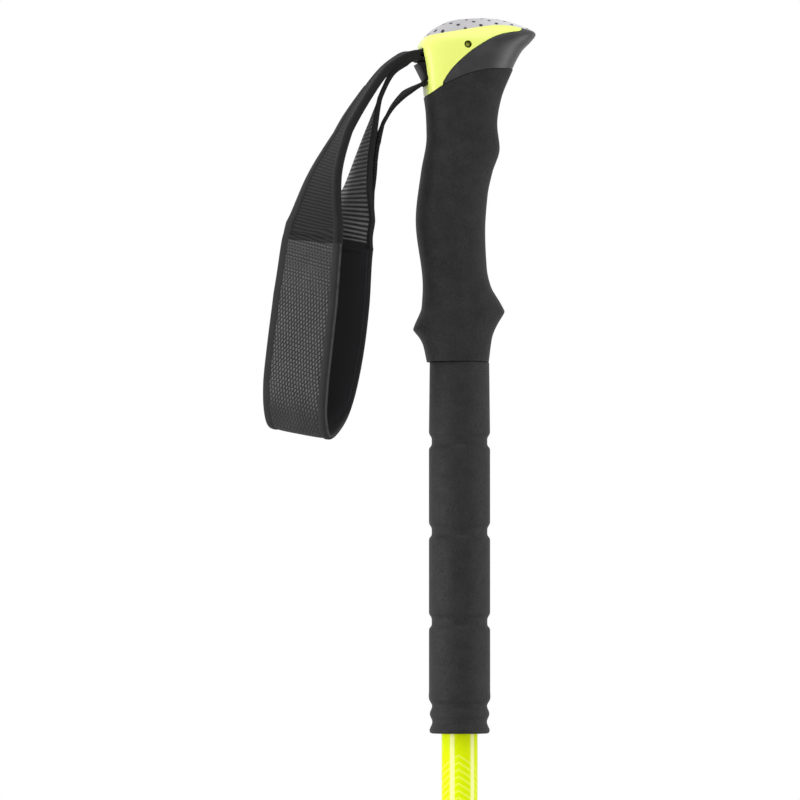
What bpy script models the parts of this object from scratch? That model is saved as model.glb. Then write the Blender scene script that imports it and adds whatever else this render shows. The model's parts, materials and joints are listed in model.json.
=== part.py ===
"""Telescopic trekking pole: moulded head, foam grips, wrist strap, three tubes and two lever locks.

Metres, +Z up along the pole, nose of the head toward +X, wrist strap toward -X.
The origin is on the pole's axis at the middle of the hand grip, and the pole is stored collapsed.
Outlines of moulded and sewn pieces are rows in millimetres, scaled by MM.
"""
import math

import bmesh
import bpy
from mathutils import Matrix, Vector

MM = 0.001

# Fits
GAP = 0.0003
SLIDE_GAP = 0.0003

# Tubes: each inner tube follows from the one around it
UPPER_TUBE_RADIUS = 0.0090
TUBE_WALL = 0.0007
UPPER_TUBE_TOP = 0.044
UPPER_TUBE_LENGTH = 0.444
PLUG_FLANGE = 0.003
PLUG_CHAMFER = 0.001
PLUG_WALL = 0.003
PLUG_DEPTH = 0.008
PLUG_ROOM = 0.0047

# Foam: hand grip over a sleeve of the head, and the extension grip below it
SLEEVE_BOTTOM = 0.012
SLEEVE_WALL = 0.0020
EXTENSION_LENGTH = 0.1855
EXTENSION_WALL = 0.0060
EXTENSION_EDGE = 0.0008
GROOVE_COUNT = 3
FIRST_GROOVE = 0.0395
GROOVE_PITCH = 0.045
GROOVE_FLOOR = 0.0055
GROOVE_SHOULDER = 0.0013
GROOVE_DEPTH = 0.0014
END_RING_COUNT = 2
END_RING_NECK = 0.0030
END_RING_RISE = 0.0008
END_RING_FLAT = 0.0030
END_RING_FALL = 0.0008
END_RING_DEPTH = 0.0017
END_RING_CROWN = 0.0008

# Head: the slot's pin lies under the pad's seam, and the strap's legs leave below the pin
CORE_WALL = 0.0027
CORE_FRONT = 0.0150
CORE_OVERLAP = 0.0017
PIN_RADIUS = 0.0016
PIN_WALL = 0.0006
PIN_HALF_LENGTH = 0.0138
PIN_X = 0.0021
PIN_DEPTH = 0.0081
PIN_TURN_START_DEG = 103.0
PIN_TURN_END_DEG = -77.0
SLOT_MOUTH_X = -0.0205
SLOT_CLEARANCE = 0.0006
SLOT_RUN_OUT = 0.0065
WEDGE_CLEARANCE = 0.0004
WEDGE_TOP_X = -0.0220
WEDGE_LIP_X = -0.0178
WEDGE_FRONT_X = -0.0045
WEDGE_ROUND = 0.0004

# Strap
WEB_WIDTH = 0.018
WEB_THICKNESS = 0.0022
LEG_DROP = 0.0035
LEG_SPACE = 0.0010
TAIL_THICKNESS = 0.0020
TAIL_GAP = 0.0006
TAIL_SEWN_FROM = 0.0439
TAIL_SEWN_TO = 0.0789
PAD_THICKNESS = 0.0020
LINING_THICKNESS = 0.0016
BAND_WIDTH = 0.044
BAND_TURN_DEG = 39.6
BAND_DROOP_DEG = 9.0
LEG_DROOP_ROWS = 2
BINDING_RADIUS = 0.0022

# Lever locks
LOCK_HEIGHT = 0.042
LOCK_SEAT = 0.018
LOCK_WALL = 0.0032
LOCK_CHAMFER = 0.0010
LOCK_SPACING = 0.005
SLIT_WIDTH = 0.0026
SLIT_HEIGHT = 0.021
SLIT_END_RADIUS = 0.0020
EAR_THICKNESS = 0.0050
EAR_HEIGHT = 0.0140
EAR_RISE = 0.0110
EAR_REACH = 0.0080
EAR_ROUND = 0.0012
BOLT_OFFSET = 0.0042
BOLT_RADIUS = 0.0020
BOLT_END = 0.0010
BOLT_EYE_RADIUS = 0.0034
BOLT_EYE_THICKNESS = 0.0044
AXLE_RADIUS = 0.0015
CAM_RADIUS = 0.0044
CAM_THROW = 0.0008
CAM_START_DEG = 180.0
CAM_END_DEG = 400.0
LEVER_HEIGHT = 0.0120
LEVER_THICKNESS = 0.0028
LEVER_CLEARANCE = 0.0009
LEVER_TIP_FLARE = 0.0022
LEVER_ROOT_DEG = 205.0
LEVER_TIP_DEG = 118.0
LEVER_LIP_DEG = 4.0
LEVER_FLARE_DEG = 14.0
NUT_RADIUS = 0.0042
NUT_THICKNESS = 0.0045
NUT_GRIPS = 10
NUT_GRIP_DEPTH = 0.0003

# Foot: ferrule over the lower tube, basket and tip
FERRULE_SEAT = 0.026
FERRULE_WALL = 0.0014
FERRULE_LENGTH = 0.096
FERRULE_END_RADIUS = 0.0048
BASKET_DROP = 0.054
BASKET_RADIUS = 0.026
BASKET_HUB_HEIGHT = 0.0080
BASKET_HUB_WALL = 0.0022
BASKET_THICKNESS = 0.0020
BASKET_DISH = 0.0060
BASKET_WINDOWS = 6
BASKET_WINDOW_RADIUS = 0.0042
BASKET_SEAT_RADIUS = 0.0066
BASKET_STOP = 0.0020
TIP_SHANK_RADIUS = 0.0028
TIP_SHANK_LENGTH = 0.012
TIP_REACH = 0.018
TIP_BODY_RADIUS = 0.0044
TIP_BODY_LENGTH = 0.0063
TIP_TAPER = 0.0045
TIP_END_RADIUS = 0.0026

# Side outlines of the whole grip as height and reach: the back, the front and the half width
GRIP_BACK = [(-81, -16.2), (-72, -18.2), (-64, -23.0), (-55, -19.6), (-43, -18.3), (-10, -21.8),
             (14, -19.2), (32, -16.4), (51, -17.2), (66, -18.4), (77, -20.2), (82, -17.2),
             (85, -14.2), (88, -9.2), (90, -4.2), (91, 2.8), (91.5, 10.0)]
GRIP_FRONT = [(-81, 14.6), (-67, 16.7), (-55, 22.4), (-43, 15.6), (-34, 13.6), (-16, 12.8),
              (2, 14.0), (14, 16.5), (26, 20.2), (38, 19.0), (51, 20.9), (64, 25.8), (75, 31.5),
              (80, 36.0), (83.5, 38.1), (85.5, 36.2), (87.5, 31.2), (89.5, 26.2), (91, 19.5),
              (91.5, 14.0)]
GRIP_HALF_WIDTH = [(-81, 15.2), (-70, 15.8), (-58, 17.6), (-43, 15.0), (-10, 16.2), (14, 15.4),
                   (32, 14.4), (51, 14.8), (66, 15.6), (78, 15.8), (84, 14.0), (88, 10.4),
                   (90.5, 5.6), (91.5, 1.6)]
GRIP_BACK_BLUNTNESS = [(44, 2.4), (60, 4.6), (80, 4.6), (90, 2.6)]
GRIP_FRONT_BLUNTNESS = 2.3
GRIP_WIDEST = 0.46
FLARE_TOP = -0.042
CROWN_START = 0.079

# Seams of the head as distance forward and height; the shell's tip and foot are places in these rows
PAD_SEAM = [(-30, 79.6), (-17.2, 81.7), (-9.3, 83.1), (-0.9, 84.6), (9.6, 86.4), (17.2, 87.4),
            (25.0, 87.2), (30.0, 86.3), (36.7, 85.0), (45.0, 83.0)]
SHELL_TIP_INDEX = 7
SHELL_EDGE = [(30.0, 85.1), (28.7, 84.3), (24.7, 83.6), (19.5, 82.5), (14.4, 80.5), (9.2, 77.5),
              (3.7, 73.8), (-1.3, 69.5), (-5.3, 65.5), (-8.3, 61.5), (-10.3, 58.0)]
FOAM_TOP = [(-30, 44.5), (-17, 52.0), (-10.5, 56.4), (-1.3, 61.0), (6.2, 63.5), (14.3, 65.0),
            (24.0, 65.7), (45, 66.2)]
SHELL_FOOT_INDEX = 2
SLOT_NOTCH = [(-19.8, 75.8), (-17.0, 59.7), (-18.4, 58.0), (-32, 58.0), (-32, 75.8)]
CLAMPED_END = [(-18.65, 58.2), (-17.4, 58.4), (-3.7, 69.6)]

# Strap legs from the slot's mouth: forward, side and rise, turn of the width about Z in degrees,
# and how far the width has grown from the web's to the band's
OUTER_LEG = [(-4.0, 0.0, 0.0, 0, 0.0), (-8.5, -0.3, -1.5, 1, 0.0), (-18.2, -1.2, -9.0, 4, 0.04),
             (-28.7, -2.8, -23.0, 9, 0.15), (-39.7, -4.8, -40.5, 11, 0.27),
             (-48.7, -7.2, -62.5, 24, 0.58), (-53.8, -9.4, -86.0, 37, 0.88)]
INNER_LEG = [(-3.7, 0.0, -0.1, 0, 0.0), (-8.6, 0.0, -2.3, 0, 0.0), (-15.1, 0.1, -8.1, -3, 0.04),
             (-19.8, 0.6, -20.3, -8, 0.15), (-24.3, 1.2, -35.3, 2, 0.27), (-28.4, 1.8, -50.3, 7, 0.42),
             (-31.6, 2.2, -65.3, 13, 0.69), (-34.8, 2.5, -78.3, 27, 0.88)]

# Wrist band between the legs, and the free tail from its clamped end, in the same directions
BAND = [(-55.0, -9.8, -93.9), (-58.1, -7.1, -121.9), (-60.5, -3.6, -145.4), (-62.1, -0.2, -165.4),
        (-60.9, 3.5, -179.4), (-56.6, 8.5, -187.9), (-50.9, 11.7, -179.4), (-47.1, 12.2, -165.4),
        (-43.3, 10.6, -145.4), (-40.9, 7.1, -121.9), (-39.4, 2.9, -93.9)]
FREE_TAIL = [(-8.35, 0.0, -2.0, 0), (-15.65, -0.4, -9.7, -4), (-21.25, -0.9, -19.2, -4)]

# Facets, merge distances and room for cutters
TURN_STEPS = 26
SMALL_STEPS = 16
WINDOW_STEPS = 12
GRIP_STEPS = 30
FLARE_STEP = 0.003
HAND_STEP = 0.008
CROWN_STEPS = 7
STRAP_SPANS = 5
PIN_TURN_STEPS = 8
LEVER_STEPS = 8
CAM_STEPS = 12
NUT_GRIP_STEPS = 4
SMOOTH_DEG = 35.0
SCREW_MERGE = 0.00001
CURVE_MERGE = 0.000001
CUT_WIDTH = 0.08
CUT_MARGIN = 0.02

# Sizes that follow
MIDDLE_TUBE_RADIUS = UPPER_TUBE_RADIUS - TUBE_WALL - SLIDE_GAP
LOWER_TUBE_RADIUS = MIDDLE_TUBE_RADIUS - TUBE_WALL - SLIDE_GAP
UPPER_TUBE_BOTTOM = UPPER_TUBE_TOP - UPPER_TUBE_LENGTH
UPPER_LOCK_TOP = UPPER_TUBE_BOTTOM + LOCK_SEAT
LOWER_LOCK_TOP = UPPER_LOCK_TOP - LOCK_HEIGHT - LOCK_SPACING
FERRULE_TOP = LOWER_LOCK_TOP - LOCK_HEIGHT - LOCK_SPACING
MIDDLE_TUBE_TOP = UPPER_TUBE_TOP - PLUG_FLANGE - GAP - PLUG_ROOM
MIDDLE_TUBE_BOTTOM = LOWER_LOCK_TOP - LOCK_SEAT
LOWER_TUBE_TOP = MIDDLE_TUBE_TOP - PLUG_DEPTH - PLUG_FLANGE - GAP - PLUG_ROOM
LOWER_TUBE_BOTTOM = FERRULE_TOP - FERRULE_SEAT
TUBE_SEAT_RADIUS = UPPER_TUBE_RADIUS + GAP
SLEEVE_RADIUS = TUBE_SEAT_RADIUS + SLEEVE_WALL
GRIP_BOTTOM = GRIP_BACK[0][0] * MM
HEAD_TOP = GRIP_BACK[-1][0] * MM
HALF_GAP = GAP / 2
HALF_WEB = WEB_WIDTH / 2
HALF_WEB_THICKNESS = WEB_THICKNESS / 2
HALF_TAIL_THICKNESS = TAIL_THICKNESS / 2
CAVITY_HALF_WIDTH = HALF_WEB + GAP
CORE_HALF_WIDTH = CAVITY_HALF_WIDTH + CORE_WALL

COLOURS = {
    "lime": ((0.82, 0.93, 0.10), 0.35, 0.0),
    "lime_shell": ((0.84, 0.93, 0.22), 0.40, 0.0),
    "pad_grey": ((0.60, 0.59, 0.61), 0.70, 0.0),
    "soft_grey": ((0.075, 0.075, 0.08), 0.55, 0.0),
    "foam": ((0.030, 0.030, 0.030), 0.92, 0.0),
    "webbing": ((0.028, 0.028, 0.030), 0.85, 0.0),
    "lining": ((0.012, 0.011, 0.013), 0.80, 0.0),
    "black_plastic": ((0.020, 0.020, 0.021), 0.45, 0.0),
    "aluminium": ((0.60, 0.61, 0.62), 0.35, 1.0),
    "steel": ((0.45, 0.45, 0.45), 0.30, 1.0),
}


def clear_scene():
    for item in list(bpy.data.objects):
        bpy.data.objects.remove(item)


def make_collection(name):
    collection = bpy.data.collections.new(name)
    bpy.context.scene.collection.children.link(collection)
    return collection


def make_materials():
    made = {}
    for name, (colour, roughness, metallic) in COLOURS.items():
        material = bpy.data.materials.new(name)
        material.use_nodes = True
        shader = material.node_tree.nodes["Principled BSDF"]
        shader.inputs["Base Color"].default_value = (*colour, 1.0)
        shader.inputs["Roughness"].default_value = roughness
        shader.inputs["Metallic"].default_value = metallic
        made[name] = material
    return made


def in_metres(rows):
    return [tuple(value * MM for value in row) for row in rows]


def hermite(start, end, pull_in, pull_out, t):
    """Cubic from start to end, leaving and arriving with the given pulls."""
    return (start * (2 * t**3 - 3 * t**2 + 1) + end * (3 * t**2 - 2 * t**3)
            + pull_in * (t**3 - 2 * t**2 + t) + pull_out * (t**3 - t**2))


def smooth(keys, at):
    """Cubic through (position, value) keys, level at each turning point and held past the ends."""
    if at <= keys[0][0]:
        return keys[0][1]
    if at >= keys[-1][0]:
        return keys[-1][1]
    span = next(i for i in range(len(keys) - 1) if at <= keys[i + 1][0])
    chords = [(b[1] - a[1]) / (b[0] - a[0]) for a, b in zip(keys, keys[1:])]

    def slope(index):
        if index in (0, len(keys) - 1):
            return chords[min(index, len(chords) - 1)]
        before, after = chords[index - 1], chords[index]
        return 0.0 if before * after <= 0 else 2 * before * after / (before + after)

    (left, low), (right, high) = keys[span], keys[span + 1]
    width = right - left
    return hermite(low, high, width * slope(span), width * slope(span + 1), (at - left) / width)


def offset_line(points, distance):
    """Shift a line of 2D points to its left, seen along its own direction."""
    shifted = []
    for index, (x, z) in enumerate(points):
        before = points[max(index - 1, 0)]
        after = points[min(index + 1, len(points) - 1)]
        along = Vector((after[0] - before[0], after[1] - before[1])).normalized()
        shifted.append((x - along.y * distance, z + along.x * distance))
    return shifted


def on_line(start, end, x):
    """Point at x on the straight line through two 2D points."""
    return (x, start[1] + (end[1] - start[1]) * (x - start[0]) / (end[0] - start[0]))


def arc(centre, radius, start_deg, end_deg, count):
    angles = [math.radians(start_deg + (end_deg - start_deg) * i / count) for i in range(count + 1)]
    return [(centre[0] + radius * math.cos(a), centre[1] + radius * math.sin(a)) for a in angles]


def add_object(name, mesh, collection, material=None):
    """Object for a part, or for a cutter where no material is given."""
    made = bpy.data.objects.new(name, mesh)
    collection.objects.link(made)
    if material:
        mesh.materials.append(material)
        mesh.shade_smooth()
        mesh.set_sharp_from_angle(angle=math.radians(SMOOTH_DEG))
    else:
        made.hide_render = True
        made.display_type = "WIRE"
    return made


def mesh_from(name, shape):
    bmesh.ops.recalc_face_normals(shape, faces=shape.faces)
    mesh = bpy.data.meshes.new(name)
    shape.to_mesh(mesh)
    shape.free()
    return mesh


def turned(name, profile, collection, material=None, ring=False, steps=TURN_STEPS):
    """Revolve a (radius, height) profile about Z: down the outside, then up the bore of a ring."""
    edges = [(i, i + 1) for i in range(len(profile) - 1)]
    if ring:
        edges.append((len(profile) - 1, 0))
    mesh = bpy.data.meshes.new(name)
    mesh.from_pydata([(radius, 0.0, height) for radius, height in profile], edges, [])
    made = add_object(name, mesh, collection, material)
    screw = made.modifiers.new("turn", "SCREW")
    screw.steps = steps
    screw.render_steps = steps
    screw.use_merge_vertices = True
    screw.merge_threshold = SCREW_MERGE
    screw.use_smooth_shade = True
    return made


def cylinder(name, radius, start, end, collection, material=None, steps=SMALL_STEPS):
    along = Vector(end) - Vector(start)
    middle = (Vector(start) + Vector(end)) / 2
    turn = along.to_track_quat("Z", "Y").to_matrix().to_4x4()
    shape = bmesh.new()
    bmesh.ops.create_cone(shape, cap_ends=True, segments=steps, radius1=radius, radius2=radius,
                          depth=along.length, matrix=Matrix.Translation(middle) @ turn)
    return add_object(name, mesh_from(name, shape), collection, material)


def box(name, low, high, collection):
    size = Vector(high) - Vector(low)
    place = Matrix.Translation((Vector(high) + Vector(low)) / 2) @ Matrix.Diagonal((*size, 1.0))
    shape = bmesh.new()
    bmesh.ops.create_cube(shape, size=1.0, matrix=place)
    return add_object(name, mesh_from(name, shape), collection)


def extruded(name, outline, thickness, place, collection, material=None):
    """Solid of a flat outline, centred on its plane; place turns and moves it from the XY plane."""
    curve = bpy.data.curves.new(name, "CURVE")
    curve.dimensions = "2D"
    curve.fill_mode = "BOTH"
    curve.extrude = thickness / 2
    spline = curve.splines.new("POLY")
    spline.points.add(len(outline) - 1)
    for point, (x, y) in zip(spline.points, outline):
        point.co = (x, y, 0.0, 1.0)
    spline.use_cyclic_u = True
    guide = bpy.data.objects.new(name, curve)
    collection.objects.link(guide)
    evaluated = guide.evaluated_get(bpy.context.evaluated_depsgraph_get())
    shape = bmesh.new()
    shape.from_mesh(bpy.data.meshes.new_from_object(evaluated))
    bpy.data.objects.remove(guide)
    bmesh.ops.remove_doubles(shape, verts=shape.verts, dist=CURVE_MERGE)
    bmesh.ops.transform(shape, matrix=place, verts=shape.verts)
    return add_object(name, mesh_from(name, shape), collection, material)


def side_plane():
    """Turns an XY outline into the side plane: x stays forward and y becomes height."""
    return Matrix.Rotation(math.radians(90), 4, "X")


def loft(name, rings, collection, material):
    """Skin equal rings of points into one closed solid with flat ends."""
    shape = bmesh.new()
    rows = [[shape.verts.new(point) for point in ring] for ring in rings]
    count = len(rings[0])
    for lower, upper in zip(rows, rows[1:]):
        for k in range(count):
            following = (k + 1) % count
            shape.faces.new((lower[k], lower[following], upper[following], upper[k]))
    shape.faces.new(rows[0][::-1])
    shape.faces.new(rows[-1])
    return add_object(name, mesh_from(name, shape), collection, material)


def combine(target, other, operation="DIFFERENCE"):
    modifier = target.modifiers.new(other.name, "BOOLEAN")
    modifier.operation = operation
    modifier.solver = "EXACT"
    modifier.object = other


def rounded(target, width, segments=2):
    bevel = target.modifiers.new("round", "BEVEL")
    bevel.width = width
    bevel.segments = segments
    bevel.limit_method = "ANGLE"


def add_pivot(name, place, collection, parent=None):
    pivot = bpy.data.objects.new(name, None)
    collection.objects.link(pivot)
    pivot.location = place
    if parent:
        pivot.parent = parent
        pivot.location -= parent.location
    return pivot


def carry(pivot, place, pieces):
    """Parent pieces, built where they stand, to a pivot whose world place is given."""
    for piece in pieces:
        piece.parent = pivot
        piece.location -= place


def pin_place():
    """Side-plane place of the cross pin, its depth taken from the pad's seam."""
    return PIN_X, smooth(in_metres(PAD_SEAM), PIN_X) - PIN_DEPTH


def leg_heights():
    """Heights at which the strap's outer and inner legs leave the slot."""
    outer = pin_place()[1] - LEG_DROP
    return outer, outer - WEB_THICKNESS - LEG_SPACE


def strap_mouth():
    return Vector((SLOT_MOUTH_X, 0.0, sum(leg_heights()) / 2))


def anchor_line():
    """Centre line of the webbing inside the head: in along the outer leg, round the pin, and out."""
    outer, inner = leg_heights()
    straight = SLOT_MOUTH_X + WEB_THICKNESS
    radius = PIN_RADIUS + GAP + HALF_WEB_THICKNESS
    turn = arc(pin_place(), radius, PIN_TURN_START_DEG, PIN_TURN_END_DEG, PIN_TURN_STEPS)
    return [(SLOT_MOUTH_X, outer), (straight, outer), *turn, (straight, inner), (SLOT_MOUTH_X, inner)]


def slot_outline():
    """Side outline of the slot: over the webbing, round the pin, and down under the clamped tail."""
    roof = leg_heights()[0] + HALF_WEB_THICKNESS + SLOT_CLEARANCE
    radius = PIN_RADIUS + WEB_THICKNESS + 2 * GAP
    turn = arc(pin_place(), radius, PIN_TURN_START_DEG, PIN_TURN_END_DEG, PIN_TURN_STEPS)
    floor = offset_line(in_metres(CLAMPED_END), -HALF_TAIL_THICKNESS - SLOT_CLEARANCE)
    outside = SLOT_MOUTH_X - SLOT_RUN_OUT
    return [(outside, roof), (SLOT_MOUTH_X, roof), *turn, *floor[::-1], (outside, floor[0][1])]


def wedge_outline():
    """Side outline of the wedge, which fills the slot between the inner leg and the clamped tail."""
    inner_leg = anchor_line()[-3:-1]
    top = offset_line(inner_leg, HALF_WEB_THICKNESS + WEDGE_CLEARANCE)
    bottom = offset_line(in_metres(CLAMPED_END[1:]), HALF_TAIL_THICKNESS + WEDGE_CLEARANCE)
    return [on_line(*top, WEDGE_TOP_X), on_line(*bottom, WEDGE_LIP_X),
            on_line(*bottom, WEDGE_FRONT_X), on_line(*top, WEDGE_FRONT_X)]


def grip_section(height):
    """Ring of the grip at one height: a front and a back half, each as blunt as it is there."""
    level = height / MM
    back = smooth(GRIP_BACK, level) * MM
    front = smooth(GRIP_FRONT, level) * MM
    half_width = smooth(GRIP_HALF_WIDTH, level) * MM
    blunt = smooth(GRIP_BACK_BLUNTNESS, level)
    widest = back + (front - back) * GRIP_WIDEST
    ring = []
    for k in range(GRIP_STEPS):
        angle = 2 * math.pi * k / GRIP_STEPS
        along, across = math.cos(angle), math.sin(angle)
        forward = along >= 0
        reach = front - widest if forward else widest - back
        power = 2 / (GRIP_FRONT_BLUNTNESS if forward else blunt)
        x = widest + math.copysign(reach * abs(along) ** power, along)
        y = math.copysign(half_width * abs(across) ** power, across)
        ring.append((x, y, height))
    return ring


def grip_heights():
    """Closer stations at the flare and over the crown, where the outline turns fastest."""
    heights = []
    height = GRIP_BOTTOM
    while height < CROWN_START:
        heights.append(height)
        height += FLARE_STEP if height < FLARE_TOP else HAND_STEP
    for k in range(CROWN_STEPS + 1):
        rise = math.sin(math.radians(90) * k / CROWN_STEPS)
        heights.append(CROWN_START + (HEAD_TOP - CROWN_START) * rise)
    return heights


def whole_grip(name, parts, material):
    return loft(name, [grip_section(height) for height in grip_heights()], parts, material)


def keep_zone(target, zone, cutters):
    """Keep what lies inside a side outline, right across the grip."""
    cutter = extruded(f"{target.name}_zone", zone, CUT_WIDTH, side_plane(), cutters)
    combine(target, cutter, "INTERSECT")


def make_top_pad(parts, cutters, paint):
    top_pad = whole_grip("top_pad", parts, paint["pad_grey"])
    seam = offset_line(in_metres(PAD_SEAM), HALF_GAP)
    sky = HEAD_TOP + CUT_MARGIN
    keep_zone(top_pad, seam + [(seam[-1][0], sky), (seam[0][0], sky)], cutters)


def make_palm_rest(parts, cutters, paint):
    palm_rest = whole_grip("palm_rest", parts, paint["soft_grey"])
    seam = offset_line(in_metres(PAD_SEAM), -HALF_GAP)
    edge = offset_line(in_metres(SHELL_EDGE), HALF_GAP)
    foam = offset_line(in_metres(FOAM_TOP), HALF_GAP)
    tip_x, tip_z = seam[SHELL_TIP_INDEX]
    foot = Vector(foam[SHELL_FOOT_INDEX])
    palm_foot = foot + GAP * (Vector(foam[SHELL_FOOT_INDEX + 1]) - foot).normalized()
    nose = seam[:SHELL_TIP_INDEX:-1] + [(tip_x + GAP, tip_z)]
    keep_zone(palm_rest, [tuple(palm_foot)] + foam[SHELL_FOOT_INDEX + 1:] + nose + edge, cutters)
    room = CORE_HALF_WIDTH + GAP
    low = (-CUT_WIDTH, -room, SLEEVE_BOTTOM)
    combine(palm_rest, box("core_room", low, (CORE_FRONT + GAP, room, HEAD_TOP), cutters))


def make_head_shell(parts, cutters, paint):
    """Shell between the seams, with a core inside the palm rest and a sleeve over the tube."""
    side = side_plane()
    head_shell = whole_grip("head_shell", parts, paint["lime_shell"])
    seam = offset_line(in_metres(PAD_SEAM), -HALF_GAP)
    edge = in_metres(SHELL_EDGE)
    foam = in_metres(FOAM_TOP)
    over_foam = offset_line(foam, HALF_GAP)
    zone = seam[:SHELL_TIP_INDEX + 1] + offset_line(edge, -HALF_GAP) + over_foam[SHELL_FOOT_INDEX::-1]
    keep_zone(head_shell, zone, cutters)

    core_foot = offset_line(foam, GAP)[SHELL_FOOT_INDEX:SHELL_FOOT_INDEX + 3]
    front_foot = smooth(foam, CORE_FRONT) + GAP
    front_top = smooth(edge[::-1], CORE_FRONT) + CORE_OVERLAP
    core = core_foot + [(CORE_FRONT, front_foot), (CORE_FRONT, front_top),
                        (core_foot[0][0], pin_place()[1])]
    combine(head_shell, extruded("core", core, 2 * CORE_HALF_WIDTH, side, cutters), "UNION")
    sleeve = cylinder("sleeve", SLEEVE_RADIUS, (0, 0, SLEEVE_BOTTOM), (0, 0, front_foot + GAP),
                      cutters, steps=TURN_STEPS)
    combine(head_shell, sleeve, "UNION")
    bore = cylinder("tube_bore", TUBE_SEAT_RADIUS, (0, 0, SLEEVE_BOTTOM - CUT_MARGIN),
                    (0, 0, UPPER_TUBE_TOP + GAP), cutters, steps=TURN_STEPS)
    combine(head_shell, bore)
    combine(head_shell, extruded("slot_notch", in_metres(SLOT_NOTCH), CUT_WIDTH, side, cutters))
    combine(head_shell, extruded("slot", slot_outline(), 2 * CAVITY_HALF_WIDTH, side, cutters))
    combine(head_shell, cross_cylinder("pin_hole", PIN_RADIUS + GAP, CUT_WIDTH, cutters))


def cross_cylinder(name, radius, half_length, collection, material=None):
    """Cylinder along the cross pin's line."""
    x, z = pin_place()
    return cylinder(name, radius, (x, -half_length, z), (x, half_length, z), collection, material)


def make_slot_pieces(parts, cutters, paint):
    """Cross pin, wedge and the two ends of webbing that the head hides."""
    side = side_plane()
    web = paint["webbing"]
    strap_pin = cross_cylinder("strap_pin", PIN_RADIUS, PIN_HALF_LENGTH, parts, paint["steel"])
    combine(strap_pin, cross_cylinder("pin_bore", PIN_RADIUS - PIN_WALL, CUT_WIDTH, cutters))
    wedge = extruded("strap_wedge", wedge_outline(), WEB_WIDTH, side, parts, paint["black_plastic"])
    rounded(wedge, WEDGE_ROUND)
    hidden = (("strap_anchor", anchor_line(), HALF_WEB_THICKNESS),
              ("strap_clamped_end", in_metres(CLAMPED_END), HALF_TAIL_THICKNESS))
    for name, line, half_thickness in hidden:
        outline = offset_line(line, half_thickness) + offset_line(line, -half_thickness)[::-1]
        extruded(name, outline, WEB_WIDTH, side, parts, web)


def make_grip_foam(parts, cutters, paint):
    grip_foam = whole_grip("grip_foam", parts, paint["foam"])
    top = offset_line(in_metres(FOAM_TOP), -HALF_GAP)
    deep = GRIP_BOTTOM - CUT_MARGIN
    keep_zone(grip_foam, top + [(top[-1][0], deep), (top[0][0], deep)], cutters)
    room = SLEEVE_RADIUS + GAP
    step = SLEEVE_BOTTOM - GAP
    bore = [(0, HEAD_TOP), (room, HEAD_TOP), (room, step), (TUBE_SEAT_RADIUS, step),
            (TUBE_SEAT_RADIUS, deep), (0, deep)]
    combine(grip_foam, turned("foam_bore", bore, cutters))


def make_extension_foam(parts, paint):
    radius = TUBE_SEAT_RADIUS + EXTENSION_WALL
    top = GRIP_BOTTOM - GAP
    bottom = top - EXTENSION_LENGTH
    profile = [(radius - EXTENSION_EDGE, top), (radius, top - EXTENSION_EDGE)]
    half_floor = GROOVE_FLOOR / 2
    half_groove = half_floor + GROOVE_SHOULDER
    for groove in range(GROOVE_COUNT):
        middle = top - FIRST_GROOVE - groove * GROOVE_PITCH
        profile += [(radius, middle + half_groove), (radius - GROOVE_DEPTH, middle + half_floor),
                    (radius - GROOVE_DEPTH, middle - half_floor), (radius, middle - half_groove)]
    neck, crown = radius - END_RING_DEPTH, radius - END_RING_CROWN
    ring_pitch = END_RING_NECK + END_RING_RISE + END_RING_FLAT + END_RING_FALL
    height = bottom + END_RING_COUNT * ring_pitch
    profile.append((radius, height + END_RING_RISE))
    for ring in range(END_RING_COUNT):
        profile.append((neck, height))
        for length, ring_radius in ((END_RING_NECK, neck), (END_RING_RISE, crown), (END_RING_FLAT, crown)):
            height -= length
            profile.append((ring_radius, height))
        height -= END_RING_FALL
    profile += [(neck, bottom), (TUBE_SEAT_RADIUS, bottom), (TUBE_SEAT_RADIUS, top)]
    turned("extension_foam", profile, parts, paint["foam"], ring=True)


def make_tube(name, radius, top, bottom, parts, material):
    bore = radius - TUBE_WALL
    profile = [(radius, top), (radius, bottom), (bore, bottom), (bore, top)]
    return turned(name, profile, parts, material, ring=True)


def make_end_plug(name, tube_radius, tube_top, parts, material):
    """Guide plug: a flange over the tube's end and a hollow spigot inside it."""
    seat = tube_top + GAP
    top = seat + PLUG_FLANGE
    foot = tube_top - PLUG_DEPTH
    spigot = tube_radius - TUBE_WALL - GAP
    hole = spigot - PLUG_WALL
    profile = [(tube_radius - PLUG_CHAMFER, top), (tube_radius, top - PLUG_CHAMFER),
               (tube_radius, seat), (spigot, seat), (spigot, foot), (hole, foot), (hole, top)]
    return turned(name, profile, parts, material, ring=True)


def lever_outline(collar_radius, axle):
    """Arm round the collar, then an off-centre cam about the axle that presses on the ear."""
    centre = (0.0, 0.0)
    inner = collar_radius + LEVER_CLEARANCE
    outer = inner + LEVER_THICKNESS
    tip = arc(centre, outer + LEVER_TIP_FLARE, LEVER_TIP_DEG - LEVER_LIP_DEG, LEVER_TIP_DEG, 1)
    outside = arc(centre, outer, LEVER_TIP_DEG + LEVER_FLARE_DEG, LEVER_ROOT_DEG, LEVER_STEPS)
    cam = arc((axle.x + CAM_THROW, axle.y), CAM_RADIUS, CAM_START_DEG, CAM_END_DEG, CAM_STEPS)
    inside = arc(centre, inner, LEVER_ROOT_DEG, LEVER_TIP_DEG, LEVER_STEPS)
    return tip + outside + cam + inside


def nut_outline():
    count = NUT_GRIPS * NUT_GRIP_STEPS
    outline = []
    for k in range(count):
        angle = 2 * math.pi * k / count
        reach = NUT_RADIUS + NUT_GRIP_DEPTH * math.cos(NUT_GRIPS * angle)
        outline.append((reach * math.cos(angle), reach * math.sin(angle)))
    return outline


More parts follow.
